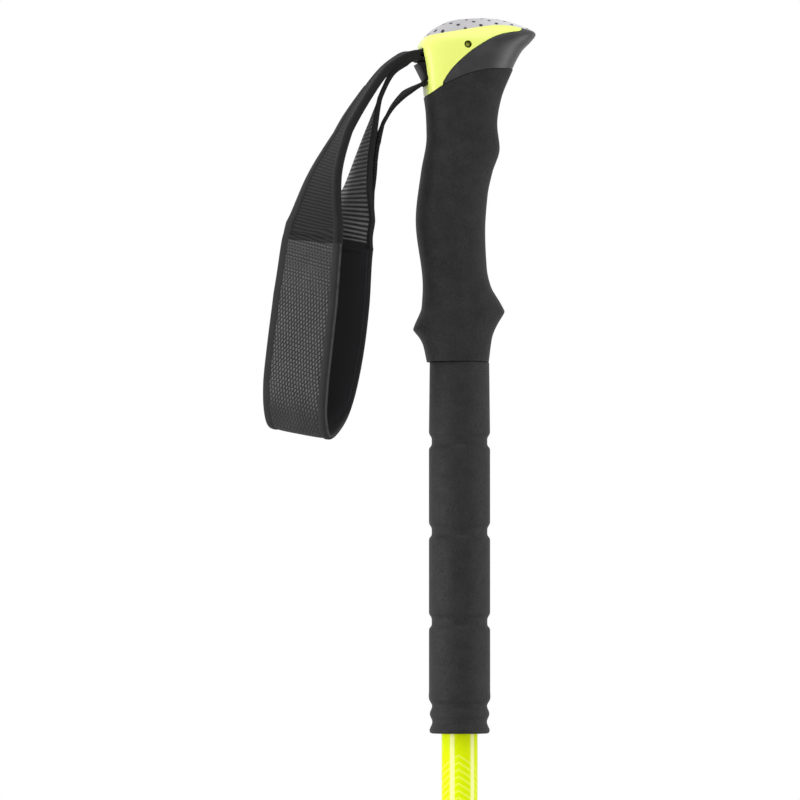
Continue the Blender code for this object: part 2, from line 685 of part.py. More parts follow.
class Lock:
    """Split collar on the end of one tube, clamped on the next by a cam lever and a thumb nut."""

    def __init__(self, prefix, top, outer_radius, inner_radius, parts, cutters, paint):
        self.prefix = prefix
        self.top = top
        self.bottom = top - LOCK_HEIGHT
        self.seat = outer_radius + GAP
        self.slide = inner_radius + SLIDE_GAP
        self.radius = self.seat + LOCK_WALL
        self.level = self.bottom + EAR_RISE
        self.ear_face = SLIT_WIDTH / 2 + EAR_THICKNESS
        self.bolt_line = Vector((0, -(self.radius + BOLT_OFFSET), self.level))
        axle_x = -(self.ear_face + GAP + CAM_RADIUS + CAM_THROW)
        self.axle = Vector((axle_x, self.bolt_line.y, self.level))
        self.parts, self.cutters, self.paint = parts, cutters, paint

    def along_bolt(self, name, radius):
        side = Vector((2 * self.radius, 0, 0))
        return cylinder(name, radius, self.bolt_line - side, self.bolt_line + side, self.cutters)

    def along_axle(self, name, radius, half_length, collection, material=None):
        rise = Vector((0, 0, half_length))
        return cylinder(name, radius, self.axle - rise, self.axle + rise, collection, material)

    def collar(self):
        shoulder = self.top - LOCK_SEAT - GAP
        chamfered = self.radius - LOCK_CHAMFER
        profile = [(chamfered, self.top), (self.radius, self.top - LOCK_CHAMFER),
                   (self.radius, self.bottom + LOCK_CHAMFER), (chamfered, self.bottom),
                   (self.slide, self.bottom), (self.slide, shoulder), (self.seat, shoulder),
                   (self.seat, self.top)]
        collar = turned(f"{self.prefix}_collar", profile, self.parts, self.paint["black_plastic"], ring=True)
        ear_low = (-self.ear_face, -(self.radius + EAR_REACH), self.level - EAR_HEIGHT / 2)
        ear_high = (self.ear_face, -(self.slide + LOCK_WALL / 2), self.level + EAR_HEIGHT / 2)
        ears = box(f"{self.prefix}_ears", ear_low, ear_high, self.cutters)
        rounded(ears, EAR_ROUND)
        combine(collar, ears, "UNION")
        slit_top = self.bottom + SLIT_HEIGHT
        half_slit = SLIT_WIDTH / 2
        outside = -2 * self.radius
        slit = box(f"{self.prefix}_slit", (-half_slit, outside, self.bottom - CUT_MARGIN),
                   (half_slit, 0, slit_top), self.cutters)
        combine(collar, slit)
        slit_end = cylinder(f"{self.prefix}_slit_end", SLIT_END_RADIUS, (0, outside, slit_top),
                            (0, 0, slit_top), self.cutters)
        combine(collar, slit_end)
        combine(collar, self.along_bolt(f"{self.prefix}_bolt_hole", BOLT_RADIUS + GAP))
        return collar

    def lever(self):
        flat = Matrix.Translation((0, 0, self.level))
        lever = extruded(f"{self.prefix}_lever", lever_outline(self.radius, self.axle), LEVER_HEIGHT,
                         flat, self.parts, self.paint["aluminium"])
        half_eye = BOLT_EYE_THICKNESS / 2 + GAP
        low = self.axle - Vector((CUT_MARGIN, CUT_MARGIN, half_eye))
        high = self.axle + Vector((CUT_MARGIN, BOLT_EYE_RADIUS + GAP, half_eye))
        combine(lever, box(f"{self.prefix}_eye_room", low, high, self.cutters))
        combine(lever, self.along_axle(f"{self.prefix}_axle_hole", AXLE_RADIUS + GAP, LEVER_HEIGHT,
                                       self.cutters))
        return set_origin(lever, self.axle)

    def pin(self):
        return self.along_axle(f"{self.prefix}_axle", AXLE_RADIUS, LEVER_HEIGHT / 2, self.parts,
                               self.paint["steel"])

    def bolt(self):
        end = self.ear_face + GAP + NUT_THICKNESS + BOLT_END
        bolt = cylinder(f"{self.prefix}_bolt", BOLT_RADIUS, self.axle, self.bolt_line + Vector((end, 0, 0)),
                        self.parts, self.paint["steel"])
        eye = self.along_axle(f"{self.prefix}_bolt_eye", BOLT_EYE_RADIUS, BOLT_EYE_THICKNESS / 2,
                              self.cutters)
        combine(bolt, eye, "UNION")
        combine(bolt, self.along_axle(f"{self.prefix}_eye_hole", AXLE_RADIUS + GAP, LEVER_HEIGHT,
                                      self.cutters))
        return bolt

    def nut(self):
        middle = self.bolt_line + Vector((self.ear_face + GAP + NUT_THICKNESS / 2, 0, 0))
        place = Matrix.Translation(middle) @ Matrix.Rotation(math.radians(90), 4, "Y")
        nut = extruded(f"{self.prefix}_nut", nut_outline(), NUT_THICKNESS, place, self.parts,
                       self.paint["black_plastic"])
        combine(nut, self.along_bolt(f"{self.prefix}_nut_bore", BOLT_RADIUS + GAP))
        return set_origin(nut, middle)

    def make(self):
        return [self.collar(), self.lever(), self.pin(), self.bolt(), self.nut()]


def set_origin(piece, origin):
    """Move an object's origin to its joint's axis, with its shape left where it is."""
    piece.data.transform(Matrix.Translation(-origin))
    piece.location = origin
    return piece


def make_ferrule(parts, paint):
    seat = LOWER_TUBE_RADIUS + GAP
    sleeve = seat + FERRULE_WALL
    end = FERRULE_TOP - FERRULE_LENGTH
    stop = FERRULE_TOP - BASKET_DROP + GAP
    stop_radius = BASKET_SEAT_RADIUS + BASKET_STOP
    seat_end = FERRULE_TOP - BASKET_DROP - BASKET_HUB_HEIGHT
    socket = TIP_SHANK_RADIUS + GAP
    socket_top = end + TIP_SHANK_LENGTH + GAP
    tube_stop = LOWER_TUBE_BOTTOM - GAP
    profile = [(0, tube_stop), (seat, tube_stop), (seat, FERRULE_TOP), (sleeve, FERRULE_TOP),
               (sleeve, tube_stop), (stop_radius, stop + BASKET_STOP), (stop_radius, stop),
               (BASKET_SEAT_RADIUS, stop), (BASKET_SEAT_RADIUS, seat_end), (FERRULE_END_RADIUS, end),
               (socket, end), (socket, socket_top), (0, socket_top)]
    return turned("tip_ferrule", profile, parts, paint["black_plastic"])


def make_basket(parts, cutters, paint):
    """Dished round basket with a ring of windows, on a hub against the ferrule's stop."""
    top = FERRULE_TOP - BASKET_DROP
    bottom = top - BASKET_HUB_HEIGHT
    hub = BASKET_SEAT_RADIUS + GAP
    hub_outer = hub + BASKET_HUB_WALL
    rim = bottom + BASKET_DISH
    half_rim = BASKET_THICKNESS / 2
    profile = [(hub_outer, top), (hub_outer, bottom + 2 * BASKET_THICKNESS),
               (BASKET_RADIUS - BASKET_THICKNESS, rim), (BASKET_RADIUS, rim - half_rim),
               (BASKET_RADIUS - half_rim, rim - BASKET_THICKNESS),
               (hub_outer, bottom), (hub, bottom), (hub, top)]
    basket = turned("basket", profile, parts, paint["black_plastic"], ring=True)
    window_ring = (hub_outer + BASKET_RADIUS) / 2
    reach = Vector((0, 0, BASKET_RADIUS))
    for k in range(BASKET_WINDOWS):
        angle = 2 * math.pi * (k + 0.5) / BASKET_WINDOWS
        spot = Vector((window_ring * math.cos(angle), window_ring * math.sin(angle), bottom))
        window = cylinder(f"basket_window_{k}", BASKET_WINDOW_RADIUS, spot - reach, spot + reach,
                          cutters, steps=WINDOW_STEPS)
        combine(basket, window)
    return basket


def make_tip(parts, paint):
    end = FERRULE_TOP - FERRULE_LENGTH
    shank_top = end + TIP_SHANK_LENGTH
    body_end = end - GAP - TIP_BODY_LENGTH
    profile = [(0, shank_top), (TIP_SHANK_RADIUS, shank_top), (TIP_SHANK_RADIUS, end - GAP),
               (TIP_BODY_RADIUS, end - GAP), (TIP_BODY_RADIUS, body_end),
               (TIP_END_RADIUS, body_end - TIP_TAPER), (TIP_END_RADIUS, end - TIP_REACH),
               (0, end - TIP_REACH)]
    return turned("tip", profile, parts, paint["steel"], steps=SMALL_STEPS)


def strap_frames(rows):
    """Frames on a smooth line through (place, turn, droop, width) rows.

    A frame is a place, the directions across, outward and along, and a width.
    """
    places = [row[0] for row in rows]
    fine = []
    for i in range(len(rows) - 1):
        before, after = places[max(i - 1, 0)], places[min(i + 2, len(rows) - 1)]
        pull_in = (places[i + 1] - before) / 2
        pull_out = (after - places[i]) / 2
        for step in range(STRAP_SPANS):
            t = step / STRAP_SPANS
            spot = hermite(places[i], places[i + 1], pull_in, pull_out, t)
            fine.append((spot, *(a + (b - a) * t for a, b in zip(rows[i][1:], rows[i + 1][1:]))))
    fine.append(rows[-1])
    frames = []
    for i, (spot, turn, droop, width) in enumerate(fine):
        along = (fine[min(i + 1, len(fine) - 1)][0] - fine[max(i - 1, 0)][0]).normalized()
        turn, droop = math.radians(turn), math.radians(droop)
        level = math.cos(droop)
        across = Vector((math.sin(turn) * level, -math.cos(turn) * level, -math.sin(droop)))
        across = (across - along * across.dot(along)).normalized()
        frames.append((spot, across, along.cross(across), along, width))
    return frames


def moved_along(frame, distance):
    spot, across, outward, along, width = frame
    return (spot + along * distance, across, outward, along, width)


def band_solid(name, frames, inner, outer, trim, parts, material):
    """Flat band between two distances from the centre line, with trim taken off each edge."""
    rings = []
    for spot, across, outward, along, width in frames:
        half = across * (width / 2 - trim)
        rings.append([spot - half + outward * inner, spot + half + outward * inner,
                      spot + half + outward * outer, spot - half + outward * outer])
    return loft(name, rings, parts, material)


def binding_tube(name, frames, side, parts, material):
    """Round edge binding that runs along one edge of the band."""
    curve = bpy.data.curves.new(name, "CURVE")
    curve.dimensions = "3D"
    curve.bevel_depth = BINDING_RADIUS
    curve.bevel_resolution = 1
    curve.use_fill_caps = True
    spline = curve.splines.new("POLY")
    spline.points.add(len(frames) - 1)
    for point, (spot, across, outward, along, width) in zip(spline.points, frames):
        point.co = (*(spot + across * side * (width / 2 - BINDING_RADIUS)), 1.0)
    made = bpy.data.objects.new(name, curve)
    parts.objects.link(made)
    curve.materials.append(material)
    return made


def leg_rows(leg, height):
    """Rows from the slot's mouth down; the width droops to the band's angle over the first ones."""
    mouth = Vector((SLOT_MOUTH_X, 0.0, height))
    rows = [(mouth - Vector((GAP, 0, 0)), 0.0, 0.0, WEB_WIDTH)]
    for i, (*place, turn, growth) in enumerate(leg, start=1):
        droop = BAND_DROOP_DEG * min(i / LEG_DROOP_ROWS, 1.0)
        width = WEB_WIDTH + growth * (BAND_WIDTH - WEB_WIDTH)
        rows.append((mouth + Vector(place) * MM, turn, droop, width))
    return rows


def make_strap(parts, paint):
    """One line runs down the outer leg, round the wrist band and up the inner leg, split at the seams."""
    web = paint["webbing"]
    outer_height, inner_height = leg_heights()
    outer_rows, inner_rows = leg_rows(OUTER_LEG, outer_height), leg_rows(INNER_LEG, inner_height)
    band_rows = [(strap_mouth() + Vector(place) * MM, BAND_TURN_DEG, BAND_DROOP_DEG, BAND_WIDTH)
                 for place in BAND]
    frames = strap_frames(outer_rows + band_rows + inner_rows[::-1])
    first_seam = len(outer_rows) * STRAP_SPANS
    last_seam = first_seam + (len(BAND) - 1) * STRAP_SPANS
    band = frames[first_seam:last_seam + 1]
    outer_leg = frames[:first_seam] + [moved_along(frames[first_seam], -GAP)]
    inner_leg = [moved_along(frames[last_seam], GAP)] + frames[last_seam + 1:]

    trim = 2 * BINDING_RADIUS + GAP
    layers = (("strap_outer_web", outer_leg, -HALF_WEB_THICKNESS, HALF_WEB_THICKNESS, 0.0, web),
              ("strap_inner_web", inner_leg, -HALF_WEB_THICKNESS, HALF_WEB_THICKNESS, 0.0, web),
              ("strap_pad", band, HALF_GAP, HALF_GAP + PAD_THICKNESS, trim, web),
              ("strap_lining", band, -HALF_GAP - LINING_THICKNESS, -HALF_GAP, trim, paint["lining"]),
              ("strap_tail", tail_frames(inner_leg), -HALF_TAIL_THICKNESS, HALF_TAIL_THICKNESS, 0.0, web))
    pieces = []
    for name, line, inner, outer, edge_trim, material in layers:
        pieces.append(band_solid(name, line, inner, outer, edge_trim, parts, material))
    for name, side in (("strap_near_binding", 1), ("strap_far_binding", -1)):
        pieces.append(binding_tube(name, band, side, parts, web))
    return pieces


def tail_frames(inner_leg):
    """Tail from its clamped end, free as far as the seam and then flat on the inner leg's near edge."""
    beside = HALF_WEB_THICKNESS + TAIL_GAP + HALF_TAIL_THICKNESS
    mouth_height = strap_mouth().z
    sewn = []
    for spot, across, outward, along, width in inner_leg[::-1]:
        if TAIL_SEWN_FROM < mouth_height - spot.z < TAIL_SEWN_TO:
            edge = spot + outward * beside + across * (width / 2 - HALF_WEB)
            sewn.append((edge, across, -outward, -along, WEB_WIDTH))
    start_x, start_z = in_metres(CLAMPED_END)[0]
    start = Vector((start_x, 0.0, start_z))
    rows = [(start - Vector((GAP, 0, 0)), 0.0, 0.0, WEB_WIDTH)]
    rows += [(start + Vector(place) * MM, turn, BAND_DROOP_DEG, WEB_WIDTH) for *place, turn in FREE_TAIL]
    across = sewn[0][1]
    turn, droop = math.atan2(across.x, -across.y), -math.asin(across.z)
    rows.append((sewn[0][0], math.degrees(turn), math.degrees(droop), WEB_WIDTH))
    return strap_frames(rows)[:-1] + sewn


def make_grip(parts, cutters, paint):
    make_top_pad(parts, cutters, paint)
    make_palm_rest(parts, cutters, paint)
    make_head_shell(parts, cutters, paint)
    make_slot_pieces(parts, cutters, paint)
    make_grip_foam(parts, cutters, paint)
    make_extension_foam(parts, paint)


def make_middle_section(parts, cutters, paint):
    lime, black = paint["lime"], paint["black_plastic"]
    lock = Lock("lower_lock", LOWER_LOCK_TOP, MIDDLE_TUBE_RADIUS, LOWER_TUBE_RADIUS, parts, cutters, paint)
    return [make_tube("middle_shaft", MIDDLE_TUBE_RADIUS, MIDDLE_TUBE_TOP, MIDDLE_TUBE_BOTTOM, parts, lime),
            make_end_plug("middle_end_plug", MIDDLE_TUBE_RADIUS, MIDDLE_TUBE_TOP, parts, black),
            *lock.make()]


def make_lower_section(parts, cutters, paint):
    lime, black = paint["lime"], paint["black_plastic"]
    return [make_tube("lower_shaft", LOWER_TUBE_RADIUS, LOWER_TUBE_TOP, LOWER_TUBE_BOTTOM, parts, lime),
            make_end_plug("lower_end_plug", LOWER_TUBE_RADIUS, LOWER_TUBE_TOP, parts, black),
            make_ferrule(parts, paint), make_basket(parts, cutters, paint), make_tip(parts, paint)]


def main():
    clear_scene()
    parts = make_collection("trekking_pole")
    cutters = make_collection("cutters")
    paint = make_materials()
    make_grip(parts, cutters, paint)
    make_tube("upper_shaft", UPPER_TUBE_RADIUS, UPPER_TUBE_TOP, UPPER_TUBE_BOTTOM, parts, paint["lime"])
    Lock("upper_lock", UPPER_LOCK_TOP, UPPER_TUBE_RADIUS, MIDDLE_TUBE_RADIUS, parts, cutters, paint).make()

    strap_place = strap_mouth()
    carry(add_pivot("strap_pivot", strap_place, parts), strap_place, make_strap(parts, paint))
    middle_place = Vector((0, 0, UPPER_TUBE_BOTTOM))
    middle = add_pivot("middle_slide", middle_place, parts)
    carry(middle, middle_place, make_middle_section(parts, cutters, paint))
    lower_place = Vector((0, 0, MIDDLE_TUBE_BOTTOM))
    lower = add_pivot("lower_slide", lower_place, parts, parent=middle)
    carry(lower, lower_place, make_lower_section(parts, cutters, paint))


main()
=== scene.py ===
"""Looks of the trekking pole: grips, strap, finishes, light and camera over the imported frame."""
import json
import math
from contextlib import contextmanager
from typing import NamedTuple

import bpy
from mathutils import Matrix, Vector


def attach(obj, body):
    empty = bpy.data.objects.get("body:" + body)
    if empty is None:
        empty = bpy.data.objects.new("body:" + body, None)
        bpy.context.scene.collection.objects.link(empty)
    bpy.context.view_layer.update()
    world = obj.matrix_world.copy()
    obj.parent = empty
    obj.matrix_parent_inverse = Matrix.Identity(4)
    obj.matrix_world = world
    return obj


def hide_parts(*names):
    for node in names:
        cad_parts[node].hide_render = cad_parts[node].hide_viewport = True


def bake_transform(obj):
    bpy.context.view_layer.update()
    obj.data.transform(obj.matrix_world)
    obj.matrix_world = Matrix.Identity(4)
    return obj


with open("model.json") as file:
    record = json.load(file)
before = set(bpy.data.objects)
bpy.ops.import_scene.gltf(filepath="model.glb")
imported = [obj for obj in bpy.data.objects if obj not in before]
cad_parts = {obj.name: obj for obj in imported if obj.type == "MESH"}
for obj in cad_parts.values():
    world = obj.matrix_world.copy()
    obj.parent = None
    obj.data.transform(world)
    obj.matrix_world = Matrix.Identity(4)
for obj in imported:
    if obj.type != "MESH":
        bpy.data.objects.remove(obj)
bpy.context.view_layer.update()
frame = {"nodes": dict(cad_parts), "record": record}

MM = 0.001
GAP = 0.0003
HALF_GAP = GAP / 2
SEAM_OVERLAP = 0.00005

# Camera and studio
VIEW_TURN_DEG = -8.0
VIEW_RISE_DEG = 2.0
VIEW_DISTANCE = 3.0
VIEW_CENTRE = (-0.02945, 0.00414, -0.1)
LENS_MM = 270.0
FILM_MM = 36.0
FLOOR_HEIGHT = -1.262
FLOOR_HALF_SIZE = 5.0
FLOOR_FADE = (0.7, 3.2)
FLOOR_GLOW = 0.52
ROOM_LIGHT = 0.57
DARK_SIDE = (-0.85, -0.15)
DARK_SIDE_LIGHT = 0.12

# Lamps: the height that each faces, its place to the right, behind and above that, its size and its power
LAMPS = [("left_soft_lamp", -0.12, (-1.1, -0.45, -0.28), (0.6, 1.2), 10.0),
         ("right_soft_lamp", -0.12, (1.15, -0.25, -0.28), (0.5, 0.9), 5.5),
         ("top_soft_lamp", -0.12, (0.1, -0.7, 1.3), (1.2, 1.2), 10.4),
         ("crown_soft_lamp", 0.08, (-0.75, -0.25, 0.75), (0.4, 0.4), 2.2)]

# Modelling: steps of turned shapes, merged points, shading angles and edges of the solids
SPIN_STEPS = 96
ROD_STEPS = 40
LINE_SPANS = 6
EASE_STEPS = 4
EASE_SHARE = 0.45
SEAM_MERGE = 0.0000001
POINT_MERGE = 0.000002
SMOOTH_DEG = 35.0
FOAM_SMOOTH_DEG = 60.0
CLOTH_SMOOTH_DEG = 50.0
STITCH_SMOOTH_DEG = 80.0
FLAT_DEG = 2.0
SQUARE_DEG = 40.0
EDGE_DEG = 40.0
EDGE_STEPS = 2

# Tube and foam grips
TUBE_RADIUS = 0.0090
TUBE_WALL = 0.0007
TUBE_LIP = 0.0002
TUBE_TOP = 0.044
TUBE_BOTTOM = -0.400
TUBE_SEAT_RADIUS = TUBE_RADIUS + GAP
SLEEVE_BOTTOM = 0.012
SLEEVE_RADIUS = TUBE_SEAT_RADIUS + 0.0020
EXTENSION_TOP = -0.08095
EXTENSION_BOTTOM = -0.2665
EXTENSION_RADIUS = TUBE_SEAT_RADIUS + 0.0060
EXTENSION_EDGE = 0.0009
GROOVE_MIDDLES = (-0.1208, -0.1658, -0.2108)
GROOVE_DEPTH = 0.0014
EXTENSION_TOP_TAPER = 0.0004

# Groove of the extension grip as height from its middle and share of its depth, and the two waves at
# the foot of the grip as height from its end and depth
GROOVE_SHAPE = [(4.0, 0), (1.8, 1), (-1.9, 1), (-3.4, 0)]
FOOT_WAVES = [(21.0, 0.0), (17.2, 0.0), (13.8, 1.55), (9.8, 0.40), (5.8, 1.65), (2.1, 0.35), (0.5, 0.60),
              (0.0, 1.50)]
FOAM_LIP_INSET = 0.0005
FOAM_LIP_RISE = 0.0012
FOAM_LIP_DEPTH = 0.0030
FOAM_PROUD = 0.0004
FOAM_PROUD_OVER = (0.046, 0.060)

# Head: core inside the palm rest, cross pin, strap slot and wedge
CORE_HALF_WIDTH = 0.0120
CORE_FRONT = 0.0150
CORE_OVERLAP = 0.0017
PIN_X = 0.0021
PIN_DEPTH = 0.0081
PIN_RADIUS = 0.0016
PIN_BOSS_RADIUS = 0.00095
PIN_DISH_RADIUS = 0.00125
PIN_DISH_DEPTH = 0.00025
PIN_BOSS_DEPTH = 0.00005
PIN_EASE = 0.00010
PIN_TURN_DEG = (103.0, -77.0)
PIN_TURN_STEPS = 14
PIN_STEPS = 32
SLOT_MOUTH_X = -0.0205
SLOT_CLEARANCE = 0.0006
SLOT_RUN_OUT = 0.0065
CAVITY_HALF_WIDTH = 0.0093
CUT_WIDTH = 0.08
CUT_MARGIN = 0.02
ABOVE_GRIP = 0.1

# Strap
WEB_WIDTH = 0.018
WEB_THICKNESS = 0.0022
HALF_WEB = WEB_WIDTH / 2
HALF_WEB_THICKNESS = WEB_THICKNESS / 2
LEG_DROP = 0.0035
LEG_SPACE = 0.0010
TAIL_THICKNESS = 0.0020
HALF_TAIL_THICKNESS = TAIL_THICKNESS / 2
TAIL_GAP = 0.0009
TAIL_END_INSET = 0.0013
TAIL_SEWN_FROM = 0.0439
TAIL_SEWN_TO = 0.0778
PAD_THICKNESS = 0.0020
BAND_WIDTH = 0.044
BAND_TURN_DEG = 39.6
BAND_DROOP_DEG = 9.0
TAIL_END_HALF_THICKNESS = 0.00055
TAIL_THINS_FROM = 0.30
BINDING_RADIUS = 0.0022
BINDING_INNER = -0.0016
LINING_FACE = -0.0019
LINING_TRIM = (0.0038, 0.0007)
LINING_COVERS_OVER = (0.52, 0.66)
STRAP_SPANS = 12
TAPE_FOLD = 0.0001
LEG_TAPE_REACH = (0.00125, 0.00215)
LEG_TAPE_HALF = (0.0013, 0.0024)
FAR_LEG_TAPE_HALF = (0.0013, 0.0031)
NEAR_BINDING_HALF = 0.0024
FAR_BINDING_HALF = 0.0031
LEG_TAPE_GROWS_OVER = 0.020
FAR_TAPE_FROM = 0.45
MOUTH_FILLER = 0.0012
MOUTH_FILLER_ENDS = (0.006, 0.019)
INNER_TAPE_THINS_OVER = (0.036, 0.052)
INNER_TAPE_HALF = (0.0012, 0.0005)
INNER_TAPE_RISE = (0.0004, 0.00015)
BINDING_OVERRUN = 0.0006
# Shares of the band over which its bindings take the lining's tone with painted shade
LINED_AND_SHADED_OVER = (0.55, 0.66)
STITCH_PITCH = 0.0022
STITCH_LENGTH = 0.0014
STITCH_WIDTH = 0.00035
PANEL_TUCK = 0.0006
PANEL_TRIM = 2 * BINDING_RADIUS - PANEL_TUCK
PANEL_STITCH_INSET = 0.0040
PANEL_STITCH_OUT = 0.0013
LINING_STITCH_INSET = 0.0022
LINING_STITCHED_TO = 0.50
TACK_ROWS = 4
TACK_ROW_STATIONS = 2
TACK_COLUMNS = 3
TACK_PITCH = 0.0021
TACK_SLANT = 0.3
LEG_BEND = (-0.020, 0, -0.012)
TAIL_BEND = (-0.020, 0, -0.014)

# Flat cloth: how square its edges are, and the points around it
RIBBON_SHAPE = (7.0, 36)
TAPE_SHAPE = (2.6, 20)
INNER_TAPE_SHAPE = (5.0, 20)
PANEL_SHAPE = (3.6, 44)
LINING_SHAPE = (8.0, 60)
SEAM_FOLD_SHAPE = (5.0, 36)

# Folds over the band's two seams: the seam, the look, half the length, and the inner and outer face
SEAM_FOLDS = [("outer_seam_fold", 0, "fine_web", 0.0024, -0.0013, 0.0018),
              ("inner_seam_fold", -1, "lining", 0.0026, -0.00205, 0.00235)]
SEAM_FOLD_TRIM = 0.0012
SEAM_FOLD_STEPS = 4

# Side outlines of the whole grip as height and reach: the back, the front and the half width
GRIP_BACK = [(-81, -16.2), (-72.2, -18.2), (-68.7, -20.1), (-66.0, -22.35), (-64.8, -23.1), (-63.0, -22.6),
             (-57.4, -20.1), (-54.0, -18.9), (-43, -18.3), (-10, -21.8), (14, -19.2), (32, -16.4),
             (51, -17.2), (66, -18.4), (77, -20.2), (82, -17.2), (85, -14.2), (88, -9.2), (90, -4.2),
             (91, 2.8), (91.5, 10.0)]
GRIP_FRONT = [(-81, 14.6), (-69.2, 16.2), (-66.0, 17.2), (-61.5, 19.4), (-57.2, 22.0), (-55.8, 22.6),
              (-54.3, 22.0), (-50.7, 20.0), (-43, 15.6), (-34, 13.6), (-16, 12.8), (2, 14.0), (14, 16.5),
              (26, 20.2), (38, 19.0), (51, 20.9), (64, 25.8), (75, 31.5), (80, 36.3), (83.5, 38.6),
              (85.5, 37.0), (87.5, 31.7), (89.5, 26.2), (91, 19.5), (91.5, 14.0)]
GRIP_HALF_WIDTH = [(-81, 15.2), (-70, 15.8), (-58, 17.6), (-43, 15.0), (-10, 16.2), (14, 15.4),
                   (32, 14.4), (51, 14.8), (66, 15.6), (78, 15.8), (84, 14.0), (88, 10.4),
                   (90.5, 5.6), (91.5, 1.6)]
GRIP_BACK_BLUNTNESS = [(44, 2.4), (60, 4.6), (80, 4.6), (90, 2.6)]
GRIP_FRONT_BLUNTNESS = 2.3
GRIP_WIDEST = 0.46
GRIP_STEPS = 96
GRIP_STATION = 1.8 * MM
GRIP_CREST_RINGS = (-65.4, -64.2, -56.4, -55.2)
CROWN_START = 0.079
CROWN_STEPS = 20

# Seams of the head as distance forward and height; the shell's tip and foot are places in the finer
# lines through these rows, and the core's foot is made of three of the foam's points
PAD_SEAM = [(-30, 79.6), (-17.2, 81.7), (-9.3, 83.1), (-0.9, 84.6), (9.6, 86.4), (17.2, 87.4),
            (25.0, 87.2), (30.0, 86.3), (36.7, 85.0), (45.0, 83.0)]
SHELL_TIP = 7 * LINE_SPANS
SHELL_EDGE = [(30.0, 85.1), (28.7, 84.3), (24.7, 83.6), (19.5, 82.5), (14.4, 80.5), (9.2, 77.5),
              (3.7, 73.8), (-1.3, 69.5), (-5.3, 65.5), (-8.3, 61.5), (-10.3, 58.0)]
FOAM_TOP = [(-30, 44.5), (-17, 52.0), (-10.5, 56.4), (-1.3, 61.0), (6.2, 63.5), (14.3, 65.0),
            (24.0, 65.7), (45, 66.2)]
SHELL_FOOT = 2 * LINE_SPANS
CORE_FOOT = slice(2, 5)
SLOT_NOTCH = [(-19.8, 75.8), (-17.0, 59.7), (-18.4, 58.0), (-32, 58.0), (-32, 75.8)]
CLAMPED_END = [(-18.65, 58.2), (-17.4, 58.4), (-3.7, 69.6)]

# Strap legs from the slot's mouth: forward, side and rise, turn of the width about Z and droop of its
# near edge in degrees, and how far the width has grown from the web's to the band's
OUTER_LEG = [(-4.0, 0.0, 0.0, 0, 4.5, 0.0), (-8.5, -0.3, -1.5, 1, 9, 0.0), (-18.2, -1.2, -9.0, 3.5, 6, 0.02),
             (-28.6, -2.8, -23.0, 5.5, 5, 0.12), (-39.0, -4.8, -40.5, 6, 5.5, 0.24),
             (-48.7, -7.2, -62.5, 18.5, 8, 0.56), (-53.8, -9.4, -86.0, 36.5, 9, 0.78)]
INNER_LEG = [(-3.6, 0.0, 0.4, 0, 2, 0.0), (-8.2, 0.0, -2.2, 0, 7, 0.0), (-14.4, 0.1, -8.2, -5, 4, 0.02),
             (-19.7, 0.6, -20.3, -8, 2.5, 0.12), (-24.0, 1.2, -35.3, 1, 5, 0.27),
             (-27.9, 1.8, -50.3, 7, 7, 0.42), (-31.0, 2.2, -65.3, 13, 8.5, 0.69),
             (-34.5, 2.5, -78.3, 27, 9, 0.92)]

# Wrist band between the legs, with its width in the same share, and the free tail from its clamped end
BAND = [(-55.0, -9.8, -93.9, 0.83), (-58.1, -7.1, -121.9, 0.98), (-60.5, -3.6, -145.4, 1),
        (-62.1, -0.2, -165.4, 1), (-61.7, 3.1, -179.0, 0.95), (-58.4, 8.1, -187.1, 0.91),
        (-51.5, 11.6, -179.0, 0.95), (-47.1, 12.2, -165.4, 1), (-43.3, 10.6, -145.4, 1),
        (-40.9, 7.1, -121.9, 1), (-39.4, 2.9, -93.9, 0.99)]
FREE_TAIL = [(-7.85, 0.0, -4.3, 0, 8, 0.0), (-13.95, -0.2, -10.4, -5, 7, 0.0),
             (-17.95, -0.5, -16.4, -8, 4, 0.0), (-20.6, -0.8, -21.5, -8, 3, 0.0)]

# How much narrower the outer half of the strap is at its far edge, by height
FAR_EDGE_TRIM = [(-112, 0.0), (-100, 0.5), (-60, 0.8), (-42, 0.65), (-22, 0.1), (-8, 0.0)]

# Colours
LIME_HEAD_DEEP = (0.79, 0.88, 0.170, 1)
LIME_HEAD_PALE = (0.84, 0.92, 0.215, 1)
PAD_GREY = (0.46, 0.45, 0.465, 1)
# Painted light: the pad's paler tone toward its nose
PAD_PAINTED_LIGHT = (0.66, 0.65, 0.67, 1)
PAD_DOT = (0.030, 0.028, 0.040, 1)
PALM_DARK = (0.030, 0.030, 0.031, 1)
PALM_WORN = (0.047, 0.047, 0.048, 1)
FOAM_DARK = (0.0100, 0.0100, 0.0102, 1)
FOAM_PALE = (0.0240, 0.0240, 0.0243, 1)
EXTENSION_DARK = (0.0072, 0.0072, 0.0074, 1)
EXTENSION_PALE = (0.0205, 0.0205, 0.0208, 1)
# Inner leg's webbing: painted light, far paler than the same webbing on the outer leg, with painted
# highlights on its rib crests
INNER_WEB_PAINTED_LIT_DARK = (0.030, 0.030, 0.0305, 1)
INNER_WEB_PAINTED_HIGHLIGHT = (0.30, 0.30, 0.303, 1)
# Lengths along the outer webbing over which its painted shade near the head gives way to its own tone
WEB_PAINTED_SHADE_OVER = (0.020, 0.085)
FINE_WEB_DARK = (0.006, 0.006, 0.0062, 1)
FINE_WEB_PALE = (0.025, 0.025, 0.026, 1)
PANEL_DARK = (0.014, 0.014, 0.015, 1)
PANEL_PALE = (0.104, 0.104, 0.107, 1)
LINING_DARK = (0.0098, 0.0090, 0.0110, 1)
LINING_PALE = (0.0195, 0.0176, 0.0214, 1)
BINDING_DARK = (0.011, 0.011, 0.0115, 1)
BINDING_PALE = (0.024, 0.024, 0.025, 1)
# Painted highlight along the bindings' folds
BINDING_FOLD_HIGHLIGHT = (0.066, 0.064, 0.066, 1)
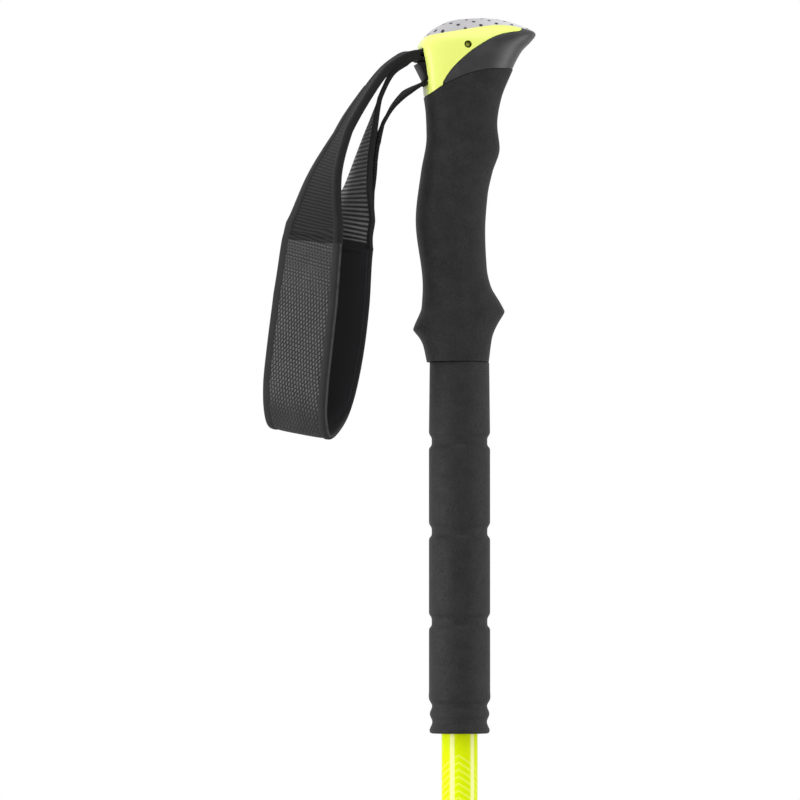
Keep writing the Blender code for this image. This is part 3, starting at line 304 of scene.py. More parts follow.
# Painted shade on the bindings where the lining covers them
BINDING_SHADED = (0.0045, 0.0040, 0.0050, 1)
LEG_TAPE_DARK = (0.0045, 0.0045, 0.0047, 1)
LEG_TAPE_PALE = (0.0095, 0.0095, 0.0098, 1)
THREAD_DARK = (0.006, 0.006, 0.0063, 1)
THREAD_PALE = (0.018, 0.018, 0.019, 1)
BLACK_PLASTIC = (0.012, 0.012, 0.013, 1)
BLACK_WORN = (0.024, 0.024, 0.025, 1)
WEDGE_BLACK = (0.0085, 0.0085, 0.0090, 1)
WEDGE_WORN = (0.0070, 0.0070, 0.0074, 1)
# Pin: the olive ring is painted shade of the lime hole round it, and the yellow cast of both tones is a
# painted reflection of the lime head
PIN_PAINTED_SHADE_OLIVE = (0.120, 0.125, 0.006, 1)
PIN_PAINTED_LIME_REFLECTION = (0.38, 0.39, 0.10, 1)
ALUMINIUM = (0.60, 0.61, 0.62, 1)
ALUMINIUM_DULL = (0.48, 0.49, 0.50, 1)
STEEL = (0.42, 0.42, 0.42, 1)
STEEL_DULL = (0.30, 0.30, 0.31, 1)
LACQUER = (0.70, 0.84, 0.0010, 1)
LACQUER_PALE = (0.75, 0.90, 0.0025, 1)
CHEVRON = (0.85, 0.94, 0.10, 1)
STRIPE = (0.93, 0.97, 0.37, 1)
FLOOR_PALE = (0.86, 0.86, 0.85, 1)
FLOOR_GREY = (0.80, 0.80, 0.80, 1)

# Plain finishes: two tones; scale and detail of their patches, with the step between the tones where it
# is sharp; scale and detail of the grain; least roughness and what grain and patches add to it; depth and
# strength of the grain; gloss
SCUFFS = (260.0, 5.0, 0.52, 0.80)
PLAIN_FINISHES = [
    ("head", "lime_head", LIME_HEAD_DEEP, LIME_HEAD_PALE, (45.0, 3.0), (2600.0, 2.0), (0.26, 0.12, 0.0),
     0.00003, 0.5, 0.50),
    ("palm", "palm_rubber", PALM_DARK, PALM_WORN, (90.0, 4.0, 0.35, 0.75), (2200.0, 3.0), (0.36, 0.10, 0.0),
     0.00004, 0.5, 0.48),
    ("thread", "thread", THREAD_DARK, THREAD_PALE, (3200.0, 2.0), (3200.0, 2.0), (0.60, 0.15, 0.0), 0.00005,
     0.6, 0.4),
    ("black", "black_plastic", BLACK_PLASTIC, BLACK_WORN, SCUFFS, (2100.0, 2.0), (0.36, 0.16, 0.08), 0.00004,
     0.5, 0.5),
    ("wedge", "wedge_plastic", WEDGE_BLACK, WEDGE_WORN, SCUFFS, (2100.0, 2.0), (0.48, 0.16, 0.08), 0.00004,
     0.5, 0.14)]

# Cloth and print: pitches of threads, and lengths over which a look changes
RIB_THREAD_PITCH = 0.00085
KNIT_PITCH = 0.0007
TWILL_PITCH = 0.0009
WEAVE_PITCH = 0.0020
WEAVE_CLOSE_PITCH = 0.0016
WEAVE_STRAY = 0.0007
WEAVE_OPENS_OVER = (0.004, 0.042)
WEAVE_FLAT_AT = 0.100
WEAVE_FLAT_OVER = (0.010, 0.030)
# Lengths forward over which the pad's painted light comes in toward the nose
PAD_PAINTED_LIGHT_OVER = (0.002, 0.034)
PRINT_SOFTNESS = 0.00018

# Pieces that keep the shape of their solids: node, name, look and width of the eased edges
LOCK_PIECES = [("collar", "clamp_collar", "black", 0.3), ("lever", "cam_lever", "aluminium", 0.3),
               ("axle", "cross_axle", "steel", 0), ("bolt", "eye_bolt", "steel", 0),
               ("nut", "thumb_nut", "black", 0.2)]
KEPT_PIECES = [("strap_wedge", "strap_clamp_wedge", "wedge", 0.8),
               ("middle_shaft", "lacquered_middle_tube", "middle_lacquer", 0),
               ("lower_shaft", "lacquered_lower_tube", "lower_lacquer", 0),
               ("middle_end_plug", "middle_guide_plug", "black", 0),
               ("lower_end_plug", "lower_guide_plug", "black", 0), ("tip_ferrule", "tip_holder", "black", 0),
               ("basket", "trail_basket", "black", 0.3), ("tip", "hard_tip", "steel", 0)]

# Shaft pattern: angles from the side that faces the camera
CHEVRON_APEX_DEG = -4.0
CHEVRON_FIRST = -0.2773
CHEVRON_PITCH = 0.00347
CHEVRON_SLOPE = 0.64
CHEVRON_WIDTH = 0.0010
STRIPE_DEGS = (-25.0, 44.7)
STRIPE_WIDTH = 0.00240

# Dots of the top pad: a slanting grid, turned from the pole's forward direction
DOT_TURN_DEG = 13.0
DOT_PITCH = 0.0083
DOT_ROW = 0.0033
DOT_SHIFT = -0.0026
DOT_START = (0.0037, -0.0101)
DOT_HALF_LENGTH = 0.00090
DOT_HALF_WIDTH = 0.00075


# Shader maths

class Amount:
    """A shader value or colour; Python's operators on a value add Math nodes."""

    def __init__(self, finish, socket):
        self.finish, self.socket = finish, socket

    def __add__(self, other):
        return self.finish.maths("ADD", self, other)

    def __sub__(self, other):
        return self.finish.maths("SUBTRACT", self, other)

    def __rsub__(self, other):
        return self.finish.maths("SUBTRACT", other, self)

    def __mul__(self, other):
        return self.finish.maths("MULTIPLY", self, other)

    def __truediv__(self, other):
        return self.finish.maths("DIVIDE", self, other)

    __radd__, __rmul__ = __add__, __mul__


class Finish:
    """The nodes of one material, or of the room's light."""

    def __init__(self, name, kind="materials"):
        self.owner = getattr(bpy.data, kind).new(name)
        self.owner.use_nodes = True
        self.tree = self.owner.node_tree
        self.tree.nodes.clear()

    def add(self, kind, settings, inputs, output=0):
        """New node: its settings first, then the values or links of its sockets."""
        node = self.tree.nodes.new(f"ShaderNode{kind}")
        for name, setting in settings.items():
            setattr(node, name, setting)
        for name, given in inputs.items():
            if isinstance(given, Amount):
                self.tree.links.new(given.socket, node.inputs[name])
            else:
                node.inputs[name].default_value = given
        return Amount(self, node.outputs[output]) if len(node.outputs) else None

    def maths(self, operation, *values):
        return self.add("Math", {"operation": operation}, dict(enumerate(values)))

    def spot(self):
        """Place on the piece in its own metres."""
        return self.add("TexCoord", {}, {}, "Object")

    def parts(self, axes, vector=None):
        """Parts of a place along these axes; of the place on the piece where none is given."""
        return [self.add("SeparateXYZ", {}, {0: vector or self.spot()}, axis) for axis in axes]

    def cloth_parts(self):
        """Places along and across a piece of cloth, in metres of its own map."""
        return self.parts("XY", self.add("UVMap", {"uv_map": "UVMap"}, {}))

    def noise(self, scale, detail=3.0, where=None):
        inputs = {"Vector": where or self.spot(), "Scale": scale, "Detail": detail}
        return self.add("TexNoise", {}, inputs)

    def step(self, value, low, high):
        """0 below low, 1 above high and smooth between them."""
        return self.add("MapRange", {"interpolation_type": "SMOOTHSTEP"},
                        {"Value": value, "From Min": low, "From Max": high})

    def wave(self, value, pitch):
        return 0.5 + 0.5 * self.maths("SINE", value * (2 * math.pi / pitch))

    def off_middle(self, value, pitch):
        """Distance from the nearest of evenly spaced lines."""
        turns = value / pitch + 0.5
        return self.maths("ABSOLUTE", self.maths("FRACT", turns) - 0.5) * pitch

    def length(self, over, up):
        return self.maths("SQRT", over * over + up * up)

    def mix(self, factor, low, high):
        return self.add("Mix", {"data_type": "RGBA"}, {0: factor, 6: low, 7: high}, 2)

    def rays(self):
        """1 for light that goes to the camera, that is mirrored, and that goes through glass."""
        names = [f"Is {ray} Ray" for ray in ("Camera", "Glossy", "Transmission")]
        return [self.add("LightPath", {}, {}, name) for name in names]

    def done(self, colour, roughness, height, depth, strength, gloss=0.5, **fixed):
        """Join the look to the output; gloss and the fixed sockets have the same value all over."""
        normal = self.add("Bump", {}, {"Height": height, "Distance": depth, "Strength": strength})
        inputs = {"Base Color": colour, "Roughness": roughness, "Normal": normal, "Specular IOR Level": gloss}
        inputs.update({name.replace("_", " "): value for name, value in fixed.items()})
        self.add("OutputMaterial", {}, {"Surface": self.add("BsdfPrincipled", {}, inputs)})
        return self.owner


# Finishes

def grained_finish(name, dark, pale, patches, grain, roughness, depth, strength, gloss):
    """Plain surface of two tones in patches, with a fine grain, as PLAIN_FINISHES gives them."""
    finish = Finish(name)
    tone, fine = finish.noise(*patches[:2]), finish.noise(*grain)
    if patches[2:]:
        tone = finish.step(tone, *patches[2:])
    rough = roughness[0] + roughness[1] * fine + roughness[2] * tone
    return finish.done(finish.mix(tone, dark, pale), rough, fine, depth, strength, gloss)


def dotted_pad_finish():
    """Pale soft rubber with staggered rows of dark oval pits, and painted light that makes it paler toward
    the nose.
    """
    finish = Finish("dotted_pad")
    x, y = finish.parts("XY")
    turn = math.radians(DOT_TURN_DEG)
    along = x * math.cos(turn) + y * math.sin(turn) - DOT_START[0]
    across = y * math.cos(turn) - x * math.sin(turn) - DOT_START[1]
    row = finish.maths("FLOOR", across / DOT_ROW + 0.5)
    along = finish.off_middle(along - row * DOT_SHIFT, DOT_PITCH) / DOT_HALF_LENGTH
    across = (across - row * DOT_ROW) / DOT_HALF_WIDTH
    dot = 1 - finish.step(finish.length(along, across), 0.80, 1.20)
    grain = finish.noise(1900.0)
    # Painted light: paler toward the nose
    painted_light_toward_nose = finish.step(x + 0.008 * finish.noise(120.0), *PAD_PAINTED_LIGHT_OVER)
    colour = finish.mix(dot, finish.mix(painted_light_toward_nose, PAD_GREY, PAD_PAINTED_LIGHT), PAD_DOT)
    return finish.done(colour, 0.62 + 0.16 * grain, 0.06 * grain - dot, depth=0.0005, strength=0.7,
                       gloss=0.35)


def foam_finish(name, dark, pale, gloss):
    """Closed-cell foam: fine pits, a slight mottle and a few larger open cells."""
    finish = Finish(name)
    fine, mottle = finish.noise(1500.0), finish.noise(160.0, 4.0)
    cell = finish.add("TexVoronoi", {}, {"Vector": finish.spot(), "Scale": 900.0})
    pit = 1 - finish.step(cell, 0.10, 0.42)
    tone = finish.step(0.55 * fine + 0.45 * mottle - 0.22 * pit, 0.22, 0.70)
    height = 0.7 * fine - 0.8 * pit
    return finish.done(finish.mix(tone, dark, pale), 0.60 + 0.12 * fine, height, depth=0.00022, strength=0.8,
                       gloss=gloss)


def ribbed_web_finish(name, dark, pale, pitch, depth, slant, painted_shade_over=None):
    """Webbing with slightly slanting ribs across it, each rib made of slanting threads.

    Where painted shade is given, it is darkened by painted shade up to where those lengths begin, and has its
    own tone from where they end.
    """
    finish = Finish(name)
    along, across = finish.cloth_parts()
    thread = finish.wave(across + 0.35 * along, RIB_THREAD_PITCH)
    rib = finish.wave(along - slant * across + 0.00008 * thread, pitch)
    fuzz = finish.noise(2400.0)
    height = rib * (0.72 + 0.28 * thread) + 0.10 * fuzz
    tone = finish.step(0.80 * height + 0.20 * finish.noise(140.0), 0.12, 1.0)
    # Painted shade: darker where the map is short of the given lengths, as on the outer leg by the head
    if painted_shade_over:
        tone = tone * (0.30 + 0.70 * finish.step(along, *painted_shade_over))
    colour = finish.mix(tone, dark, pale)
    return finish.done(colour, 0.80 + 0.12 * fuzz, height, depth, strength=0.9, gloss=0.22, Sheen_Weight=0.03)


def woven_panel_finish(start):
    """Open weave: slightly slanting rows of short raised threads, each row half a thread off the next.

    By the seam, from which it starts, the weave is close and shows as fine ribs; at the band's foot it
    is pulled flat.
    """
    finish = Finish("woven_panel")
    along, across = finish.cloth_parts()
    stray = (finish.noise(500.0, 2.0) - 0.5) * WEAVE_STRAY
    along = along - 0.10 * across + stray
    row = finish.maths("FLOOR", along / WEAVE_PITCH)
    shift = finish.maths("FRACT", row * 0.5)
    side = finish.off_middle(across + shift * WEAVE_PITCH + 0.30 * along + stray, WEAVE_PITCH) / WEAVE_PITCH
    end = finish.off_middle(along - WEAVE_PITCH / 2, WEAVE_PITCH) / WEAVE_PITCH
    dash = (1 - finish.step(side, 0.10, 0.34)) * (1 - finish.step(end, 0.28, 0.50))
    fuzz, patch = finish.noise(2400.0), finish.noise(90.0)
    opened = finish.step(along, *(start + distance for distance in WEAVE_OPENS_OVER))
    from_foot = finish.maths("ABSOLUTE", along - start - WEAVE_FLAT_AT)
    flat = 1 - finish.step(from_foot, *WEAVE_FLAT_OVER)
    weave = dash * (0.30 + 0.70 * opened) + 0.36 * finish.wave(along, WEAVE_CLOSE_PITCH) * (1 - opened)
    weave = weave * (1 - 0.72 * flat)
    tone = finish.step(0.74 * weave + 0.14 * fuzz + 0.22 * patch, 0.10, 0.95)
    colour = finish.mix(tone, PANEL_DARK, PANEL_PALE)
    height = weave + 0.12 * fuzz
    return finish.done(colour, 0.78 + 0.14 * fuzz, height, depth=0.00035, strength=0.8, gloss=0.28,
                       Sheen_Weight=0.05)


def lining_finish():
    finish = Finish("lining")
    along, across = finish.cloth_parts()
    knit = finish.wave(along, KNIT_PITCH) * finish.wave(across, KNIT_PITCH)
    patch = finish.noise(70.0)
    colour = finish.mix(0.45 * knit + 0.55 * patch, LINING_DARK, LINING_PALE)
    return finish.done(colour, 0.72 + 0.10 * patch, knit, depth=0.00005, strength=0.5, gloss=0.3,
                       Sheen_Weight=0.08)


def binding_finish(name, dark, pale, fold_highlight_strength, lined_and_shaded=None):
    """Folded edge tape with a fine twill, a painted highlight in patches along its fold, and, where the
    lining covers it, the lining's tone with painted shade.

    Across it, its map goes from -1 to 1 at the fold.
    """
    finish = Finish(name)
    along, across = finish.cloth_parts()
    twill = finish.wave(along + 0.9 * BINDING_RADIUS * across, TWILL_PITCH)
    fuzz, patch = finish.noise(1700.0), finish.noise(160.0)
    colour = finish.mix(0.40 * twill + 0.60 * patch, dark, pale)
    # Painted highlight: paler in patches along the fold
    painted_fold_highlight = finish.step(across, 0.95, 0.99) * finish.step(patch, 0.30, 0.50)
    colour = finish.mix(fold_highlight_strength * painted_fold_highlight, colour, BINDING_FOLD_HIGHLIGHT)
    if lined_and_shaded:
        # Where the lining covers the tape: the lining's own dark tone, mixed in patches with painted shade
        lining_and_shade = finish.mix(patch, BINDING_SHADED, LINING_DARK)
        colour = finish.mix(finish.step(along, *lined_and_shaded), colour, lining_and_shade)
    height = 0.7 * twill + 0.3 * fuzz
    return finish.done(colour, 0.74 + 0.14 * fuzz, height, depth=0.00007, strength=0.7, gloss=0.25,
                       Sheen_Weight=0.05)


def pin_finish():
    """Pin painted olive outside its boss as painted shade of the lime hole round it, paler in the middle of
    its ends; both tones carry a painted reflection of the lime head.
    """
    finish = Finish("painted_shade_olive_pin")
    x, z = finish.parts("XZ")
    away = finish.length(x - PIN_X, z - pin_place()[1])
    ring = finish.step(away, 0.9 * PIN_BOSS_RADIUS, 1.1 * PIN_BOSS_RADIUS)
    stain = finish.noise(900.0)
    # Painted shade outside the boss, and a painted lime reflection in its middle
    colour = finish.mix(ring, PIN_PAINTED_LIME_REFLECTION, PIN_PAINTED_SHADE_OLIVE)
    return finish.done(colour, 0.45 + 0.2 * stain, stain, depth=0.00003, strength=0.5, gloss=0.3)


def brushed_metal_finish(name, bright, dull, stretch, roughness):
    """Metal with fine lines that run along its long direction."""
    finish = Finish(name)
    lines = finish.add("Mapping", {}, {"Vector": finish.spot(), "Scale": stretch})
    line = finish.noise(1.0, 4.0, lines)
    colour = finish.mix(0.6 * line + 0.4 * finish.noise(240.0), dull, bright)
    return finish.done(colour, roughness + 0.14 * line, line, depth=0.00002, strength=0.4, Metallic=1.0)


def lacquer_finish(name, radius, patterned):
    """Lime lacquer on a tube, with two pale stripes and, if patterned, fine chevrons under them."""
    finish = Finish(name)
    x, y, z = finish.parts("XYZ")
    facing = math.radians(VIEW_TURN_DEG + CHEVRON_APEX_DEG)
    sideways = x * math.cos(facing) + y * math.sin(facing)
    toward = x * math.sin(facing) - y * math.cos(facing)
    angle = finish.maths("ARCTAN2", sideways, toward)
    cloud, fleck = finish.noise(60.0), finish.noise(3000.0, 2.0)
    colour = finish.mix(0.6 * cloud + 0.4 * fleck, LACQUER, LACQUER_PALE)

    def printed(off_line, width):
        return 1 - finish.step(off_line, width / 2 - PRINT_SOFTNESS, width / 2 + PRINT_SOFTNESS)

    def stripe(degrees):
        centre = math.radians(degrees - CHEVRON_APEX_DEG)
        return printed(finish.maths("ABSOLUTE", angle - centre) * radius, STRIPE_WIDTH)

    if patterned:
        drop = z + finish.maths("ABSOLUTE", angle) * (radius * CHEVRON_SLOPE) - CHEVRON_FIRST
        below = 1 - finish.step(drop, CHEVRON_PITCH * 0.2, CHEVRON_PITCH * 0.4)
        line = printed(finish.off_middle(drop, CHEVRON_PITCH), CHEVRON_WIDTH)
        colour = finish.mix(line * below * 0.75, colour, CHEVRON)
    colour = finish.mix(stripe(STRIPE_DEGS[0]) + stripe(STRIPE_DEGS[1]), colour, STRIPE)
    return finish.done(colour, 0.30 + 0.10 * fleck, cloud, depth=0.00002, strength=0.3, gloss=0.05)


def floor_finish():
    """Pale floor that is seen to fade into the white room away from the object."""
    finish = Finish("studio_floor")
    cloud = finish.noise(2.0)
    away = finish.step(finish.length(*finish.parts("XY")), *FLOOR_FADE)
    camera, glossy, passing = finish.rays()
    glow = finish.mix(away * (camera + glossy + passing), (0, 0, 0, 1), (1, 1, 1, 1))
    colour = finish.mix(cloud, FLOOR_GREY, FLOOR_PALE)
    return finish.done(colour, 0.85 + 0.05 * cloud, cloud, depth=0.001, strength=0.1, gloss=0.2,
                       Emission_Color=glow, Emission_Strength=FLOOR_GLOW)


# Modelling by operators

def put_down():
    bpy.ops.object.select_all(action="DESELECT")


def take_up(piece):
    put_down()
    piece.select_set(True)
    bpy.context.view_layer.objects.active = piece


@contextmanager
def editing(piece):
    take_up(piece)
    bpy.ops.object.mode_set(mode="EDIT")
    bpy.ops.mesh.select_mode(type="VERT")
    yield
    bpy.ops.object.mode_set(mode="OBJECT")


def on_all(operator, **options):
    """Use an operator of edit mode on the whole piece."""
    bpy.ops.mesh.select_all(action="SELECT")
    operator(**options)


def face_outwards():
    on_all(bpy.ops.mesh.normals_make_consistent, inside=False)


def named(name):
    piece = bpy.context.object
    piece.name = piece.data.name = name
    return piece


def started(name, primitive, **sizes):
    put_down()
    primitive(**sizes)
    return named(name)


def skinned(name, sections, maps=None):
    """Wrap a grid round equal rings of points, join its seam, and close its ends."""
    rings, steps = len(sections), len(sections[0])
    piece = started(name, bpy.ops.mesh.primitive_grid_add, x_subdivisions=rings - 1, y_subdivisions=steps,
                    size=1.0)
    mesh = piece.data
    spots = [(round((v.co.x + 0.5) * (rings - 1)), round((v.co.y + 0.5) * steps) % steps)
             for v in mesh.vertices]
    if maps:
        for loop, target in zip(mesh.loops, mesh.uv_layers.active.data):
            ring, step = spots[loop.vertex_index]
            target.uv = maps[ring][step]
    for vertex, (ring, step) in zip(mesh.vertices, spots):
        vertex.co = sections[ring][step]
    with editing(piece):
        on_all(bpy.ops.mesh.remove_doubles, threshold=SEAM_MERGE)
        on_all(bpy.ops.mesh.fill_holes, sides=0)
        face_outwards()
    return piece


def outlined(name, places, fill):
    """Flat ring of points at their places, filled or open."""
    piece = started(name, bpy.ops.mesh.primitive_circle_add, vertices=len(places), fill_type=fill)
    for vertex, place in zip(piece.data.vertices, places):
        vertex.co = place
    return piece


def side_block(name, outline, width):
    """Block with a side outline as forward and height, right across the pole."""
    block = outlined(name, [(x, -width / 2, z) for x, z in outline], "NGON")
    with editing(block):
        on_all(bpy.ops.mesh.extrude_region_move, TRANSFORM_OT_translate={"value": (0, width, 0)})
        face_outwards()
    return block


def spun(name, outline):
    """Turn a closed outline of radius and height about the pole's axis."""
    piece = outlined(name, [(radius, 0, height) for radius, height in outline], "NOTHING")
    with editing(piece):
        on_all(bpy.ops.mesh.spin, steps=SPIN_STEPS, angle=2 * math.pi, center=(0, 0, 0), axis=(0, 0, 1))
        on_all(bpy.ops.mesh.remove_doubles, threshold=POINT_MERGE)
        on_all(bpy.ops.mesh.delete_loose)
        face_outwards()
    return piece


def cross_rod(name, radius, place):
    """Rod right across the pole at a place in the side plane."""
    rod = started(name, bpy.ops.mesh.primitive_cylinder_add, vertices=ROD_STEPS, radius=radius,
                  depth=CUT_WIDTH, location=(place[0], 0, place[1]), rotation=(math.pi / 2, 0, 0))
    bpy.ops.object.transform_apply(location=True, rotation=True, scale=True)
    return rod


def combine(piece, tool, operation="DIFFERENCE"):
    """Cut a piece with a tool, or join or keep the two, and take the tool away."""
    modifier = piece.modifiers.new("cut", "BOOLEAN")
    modifier.object = tool
    modifier.operation = operation
    modifier.solver = "EXACT"
    take_up(piece)
    bpy.ops.object.modifier_apply(modifier=modifier.name)
    bpy.data.objects.remove(tool)


def smoothed(piece, degrees=SMOOTH_DEG):
    take_up(piece)
    bpy.ops.object.shade_smooth_by_angle(angle=math.radians(degrees))
    return piece


def painted(piece, material):
    piece.data.materials.clear()
    piece.data.materials.append(material)
    return piece


def fitted(piece, material, node=None, body="pole", bend=None):
    """Paint a finished piece, let it move with its body, and stand it in for its solid.

    A piece with a bend keeps its place in the world and is given no body; the bend's two ends are not used.
    """
    painted(piece, material)
    if bend:
        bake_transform(piece)
    else:
        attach(piece, body)
    if node:
        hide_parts(node)
    return piece


# Lines and sections

def in_metres(rows):
    return [tuple(value * MM for value in row) for row in rows]


def hermite(start, end, pull_in, pull_out, t):
    return (start * (2 * t**3 - 3 * t**2 + 1) + end * (3 * t**2 - 2 * t**3)
            + pull_in * (t**3 - 2 * t**2 + t) + pull_out * (t**3 - t**2))


def smooth(keys, at):
    """Cubic through (position, value) keys, level at each turning point and held past the ends."""
    if at <= keys[0][0]:
        return keys[0][1]
    if at >= keys[-1][0]:
        return keys[-1][1]
    span = next(i for i in range(len(keys) - 1) if at <= keys[i + 1][0])
    chords = [(b[1] - a[1]) / (b[0] - a[0]) for a, b in zip(keys, keys[1:])]

    def slope(index):
        if index in (0, len(keys) - 1):
            return chords[min(index, len(chords) - 1)]
        before, after = chords[index - 1], chords[index]
        return 0.0 if before * after <= 0 else 2 * before * after / (before + after)

    (left, low), (right, high) = keys[span], keys[span + 1]
    width = right - left
    return hermite(low, high, width * slope(span), width * slope(span + 1), (at - left) / width)


def offset_line(points, distance):
    """Shift a line of 2D points to its left, seen along its own direction."""
    shifted = []
    for index, (x, z) in enumerate(points):
        before = points[max(index - 1, 0)]
        after = points[min(index + 1, len(points) - 1)]
        along = Vector((after[0] - before[0], after[1] - before[1])).normalized()
        shifted.append((x - along.y * distance, z + along.x * distance))
    return shifted


def curved(points, spans):
    """Finer row of places on one smooth curve through points."""
    spots = [Vector(point) for point in points]
    fine = []
    for i, (spot, following) in enumerate(zip(spots, spots[1:])):
        before, after = spots[max(i - 1, 0)], spots[min(i + 2, len(spots) - 1)]
        pull_in, pull_out = (following - before) / 2, (after - spot) / 2
        fine += [hermite(spot, following, pull_in, pull_out, step / spans) for step in range(spans)]
    return fine + [spots[-1]]


def rounded_line(points):
    return [tuple(spot) for spot in curved(points, LINE_SPANS)]


def rectangle(left, right, low, high):
    return [(left, low), (right, low), (right, high), (left, high)]


def arc(centre, radius, start_deg, end_deg, count):
    angles = [math.radians(start_deg + (end_deg - start_deg) * i / count) for i in range(count + 1)]
    return [(centre[0] + radius * math.cos(a), centre[1] + radius * math.sin(a)) for a in angles]


def eased_share(value, low, high):
    share = min(max((value - low) / (high - low), 0.0), 1.0)
    return share * share * (3 - 2 * share)


def between(ends, share):
    return ends[0] + (ends[1] - ends[0]) * share


def pin_place():
    return PIN_X, smooth(in_metres(PAD_SEAM), PIN_X) - PIN_DEPTH


def leg_heights():
    """Heights at which the strap's outer and inner legs leave the slot."""
    outer = pin_place()[1] - LEG_DROP
    return outer, outer - WEB_THICKNESS - LEG_SPACE


def strap_mouth():
    return Vector((SLOT_MOUTH_X, 0.0, sum(leg_heights()) / 2))


def anchor_line():
    """Centre line of the webbing inside the head: in along the outer leg, round the pin, and out."""
    outer, inner = leg_heights()
    straight = SLOT_MOUTH_X + WEB_THICKNESS
    turn = arc(pin_place(), PIN_RADIUS + GAP + HALF_WEB_THICKNESS, *PIN_TURN_DEG, PIN_TURN_STEPS)
    return [(SLOT_MOUTH_X, outer), (straight, outer), *turn, (straight, inner), (SLOT_MOUTH_X, inner)]


def slot_outline():
    roof = leg_heights()[0] + HALF_WEB_THICKNESS + SLOT_CLEARANCE
    turn = arc(pin_place(), PIN_RADIUS + WEB_THICKNESS + 2 * GAP, *PIN_TURN_DEG, PIN_TURN_STEPS)
    floor = offset_line(in_metres(CLAMPED_END), -HALF_TAIL_THICKNESS - SLOT_CLEARANCE)
    outside = SLOT_MOUTH_X - SLOT_RUN_OUT
    return [(outside, roof), (SLOT_MOUTH_X, roof), *turn, *floor[::-1], (outside, floor[0][1])]


# Head and grips

def grip_section(height, inset):
    """Ring of the grip at one height: a front and a back half, each as blunt as it is there."""
    level = height / MM
    back = smooth(GRIP_BACK, level) * MM + inset
    front = smooth(GRIP_FRONT, level) * MM - inset
    half_width = smooth(GRIP_HALF_WIDTH, level) * MM - inset
    blunt = smooth(GRIP_BACK_BLUNTNESS, level)
    widest = back + (front - back) * GRIP_WIDEST
    ring = []
    for k in range(GRIP_STEPS):
        angle = 2 * math.pi * k / GRIP_STEPS
        along, across = math.cos(angle), math.sin(angle)
        forward = along >= 0
        reach = front - widest if forward else widest - back
        power = 2 / (GRIP_FRONT_BLUNTNESS if forward else blunt)
        x = widest + math.copysign(reach * abs(along) ** power, along)
        y = math.copysign(half_width * abs(across) ** power, across)
        ring.append((x, y, height))
    return ring


def whole_grip(name, inset=0.0, proud=0.0):
    """The grip from its foot to its crown, set in all over or standing proud toward its top."""
    bottom, top = GRIP_BACK[0][0] * MM, GRIP_BACK[-1][0] * MM
    count = round((CROWN_START - bottom) / GRIP_STATION)
    heights = [bottom + (CROWN_START - bottom) * i / count for i in range(count)]
    for k in range(CROWN_STEPS + 1):
        heights.append(CROWN_START + (top - CROWN_START) * math.sin(math.radians(90) * k / CROWN_STEPS))
    heights += [height * MM for height in GRIP_CREST_RINGS]
    return skinned(name, [grip_section(height, inset - proud * eased_share(height, *FOAM_PROUD_OVER))
                          for height in sorted(heights)])


def keep_zone(piece, zone):
    combine(piece, side_block(f"{piece.name}_zone", zone, CUT_WIDTH), "INTERSECT")


def seam(row, shift):
    """Finer seam of the head, shifted to its left."""
    return offset_line(rounded_line(in_metres(row)), shift)


def make_top_pad(material):
    pad = whole_grip("soft_top_pad")
    line = seam(PAD_SEAM, -HALF_GAP - SEAM_OVERLAP)
    sky = GRIP_BACK[-1][0] * MM + CUT_MARGIN
    keep_zone(pad, line + [(line[-1][0], sky), (line[0][0], sky)])
    fitted(smoothed(pad), material, "top_pad")


def make_palm_rest(material):
    palm = whole_grip("soft_palm_rest")
    pad_line = seam(PAD_SEAM, -HALF_GAP)
    tip_x, tip_z = pad_line[SHELL_TIP]
    nose = pad_line[:SHELL_TIP:-1] + [(tip_x + GAP, tip_z)]
    keep_zone(palm, seam(FOAM_TOP, HALF_GAP)[SHELL_FOOT + 1:] + nose + seam(SHELL_EDGE, HALF_GAP))
    core = rectangle(-CUT_WIDTH, CORE_FRONT + GAP, SLEEVE_BOTTOM, ABOVE_GRIP)
    combine(palm, side_block("core_room", core, 2 * (CORE_HALF_WIDTH + GAP)))
    fitted(smoothed(palm), material, "palm_rest")


def make_head(material):
    """Shell between the seams, with a core inside the palm rest and a sleeve over the tube."""
    head = whole_grip("moulded_head")
    keep_zone(head, seam(PAD_SEAM, -HALF_GAP)[:SHELL_TIP + 1] + seam(SHELL_EDGE, -HALF_GAP)
              + seam(FOAM_TOP, HALF_GAP)[SHELL_FOOT::-1])
    foam_top = in_metres(FOAM_TOP)
    core_foot = offset_line(foam_top, GAP)[CORE_FOOT]
    front_foot = smooth(foam_top, CORE_FRONT) + GAP
    front_top = smooth(in_metres(SHELL_EDGE)[::-1], CORE_FRONT) + CORE_OVERLAP
    core = core_foot + [(CORE_FRONT, front_foot), (CORE_FRONT, front_top), (core_foot[0][0], pin_place()[1])]
    combine(head, side_block("core", core, 2 * CORE_HALF_WIDTH), "UNION")
    combine(head, spun("sleeve", rectangle(0, SLEEVE_RADIUS, SLEEVE_BOTTOM, front_foot + GAP)), "UNION")
    combine(head, spun("bore", rectangle(0, TUBE_SEAT_RADIUS, SLEEVE_BOTTOM - CUT_MARGIN, TUBE_TOP + GAP)))
    combine(head, side_block("slot_notch", in_metres(SLOT_NOTCH), CUT_WIDTH))
    combine(head, side_block("slot", slot_outline(), 2 * CAVITY_HALF_WIDTH))
    combine(head, cross_rod("pin_hole", PIN_RADIUS + GAP, pin_place()))
    fitted(smoothed(head), material, "head_shell")


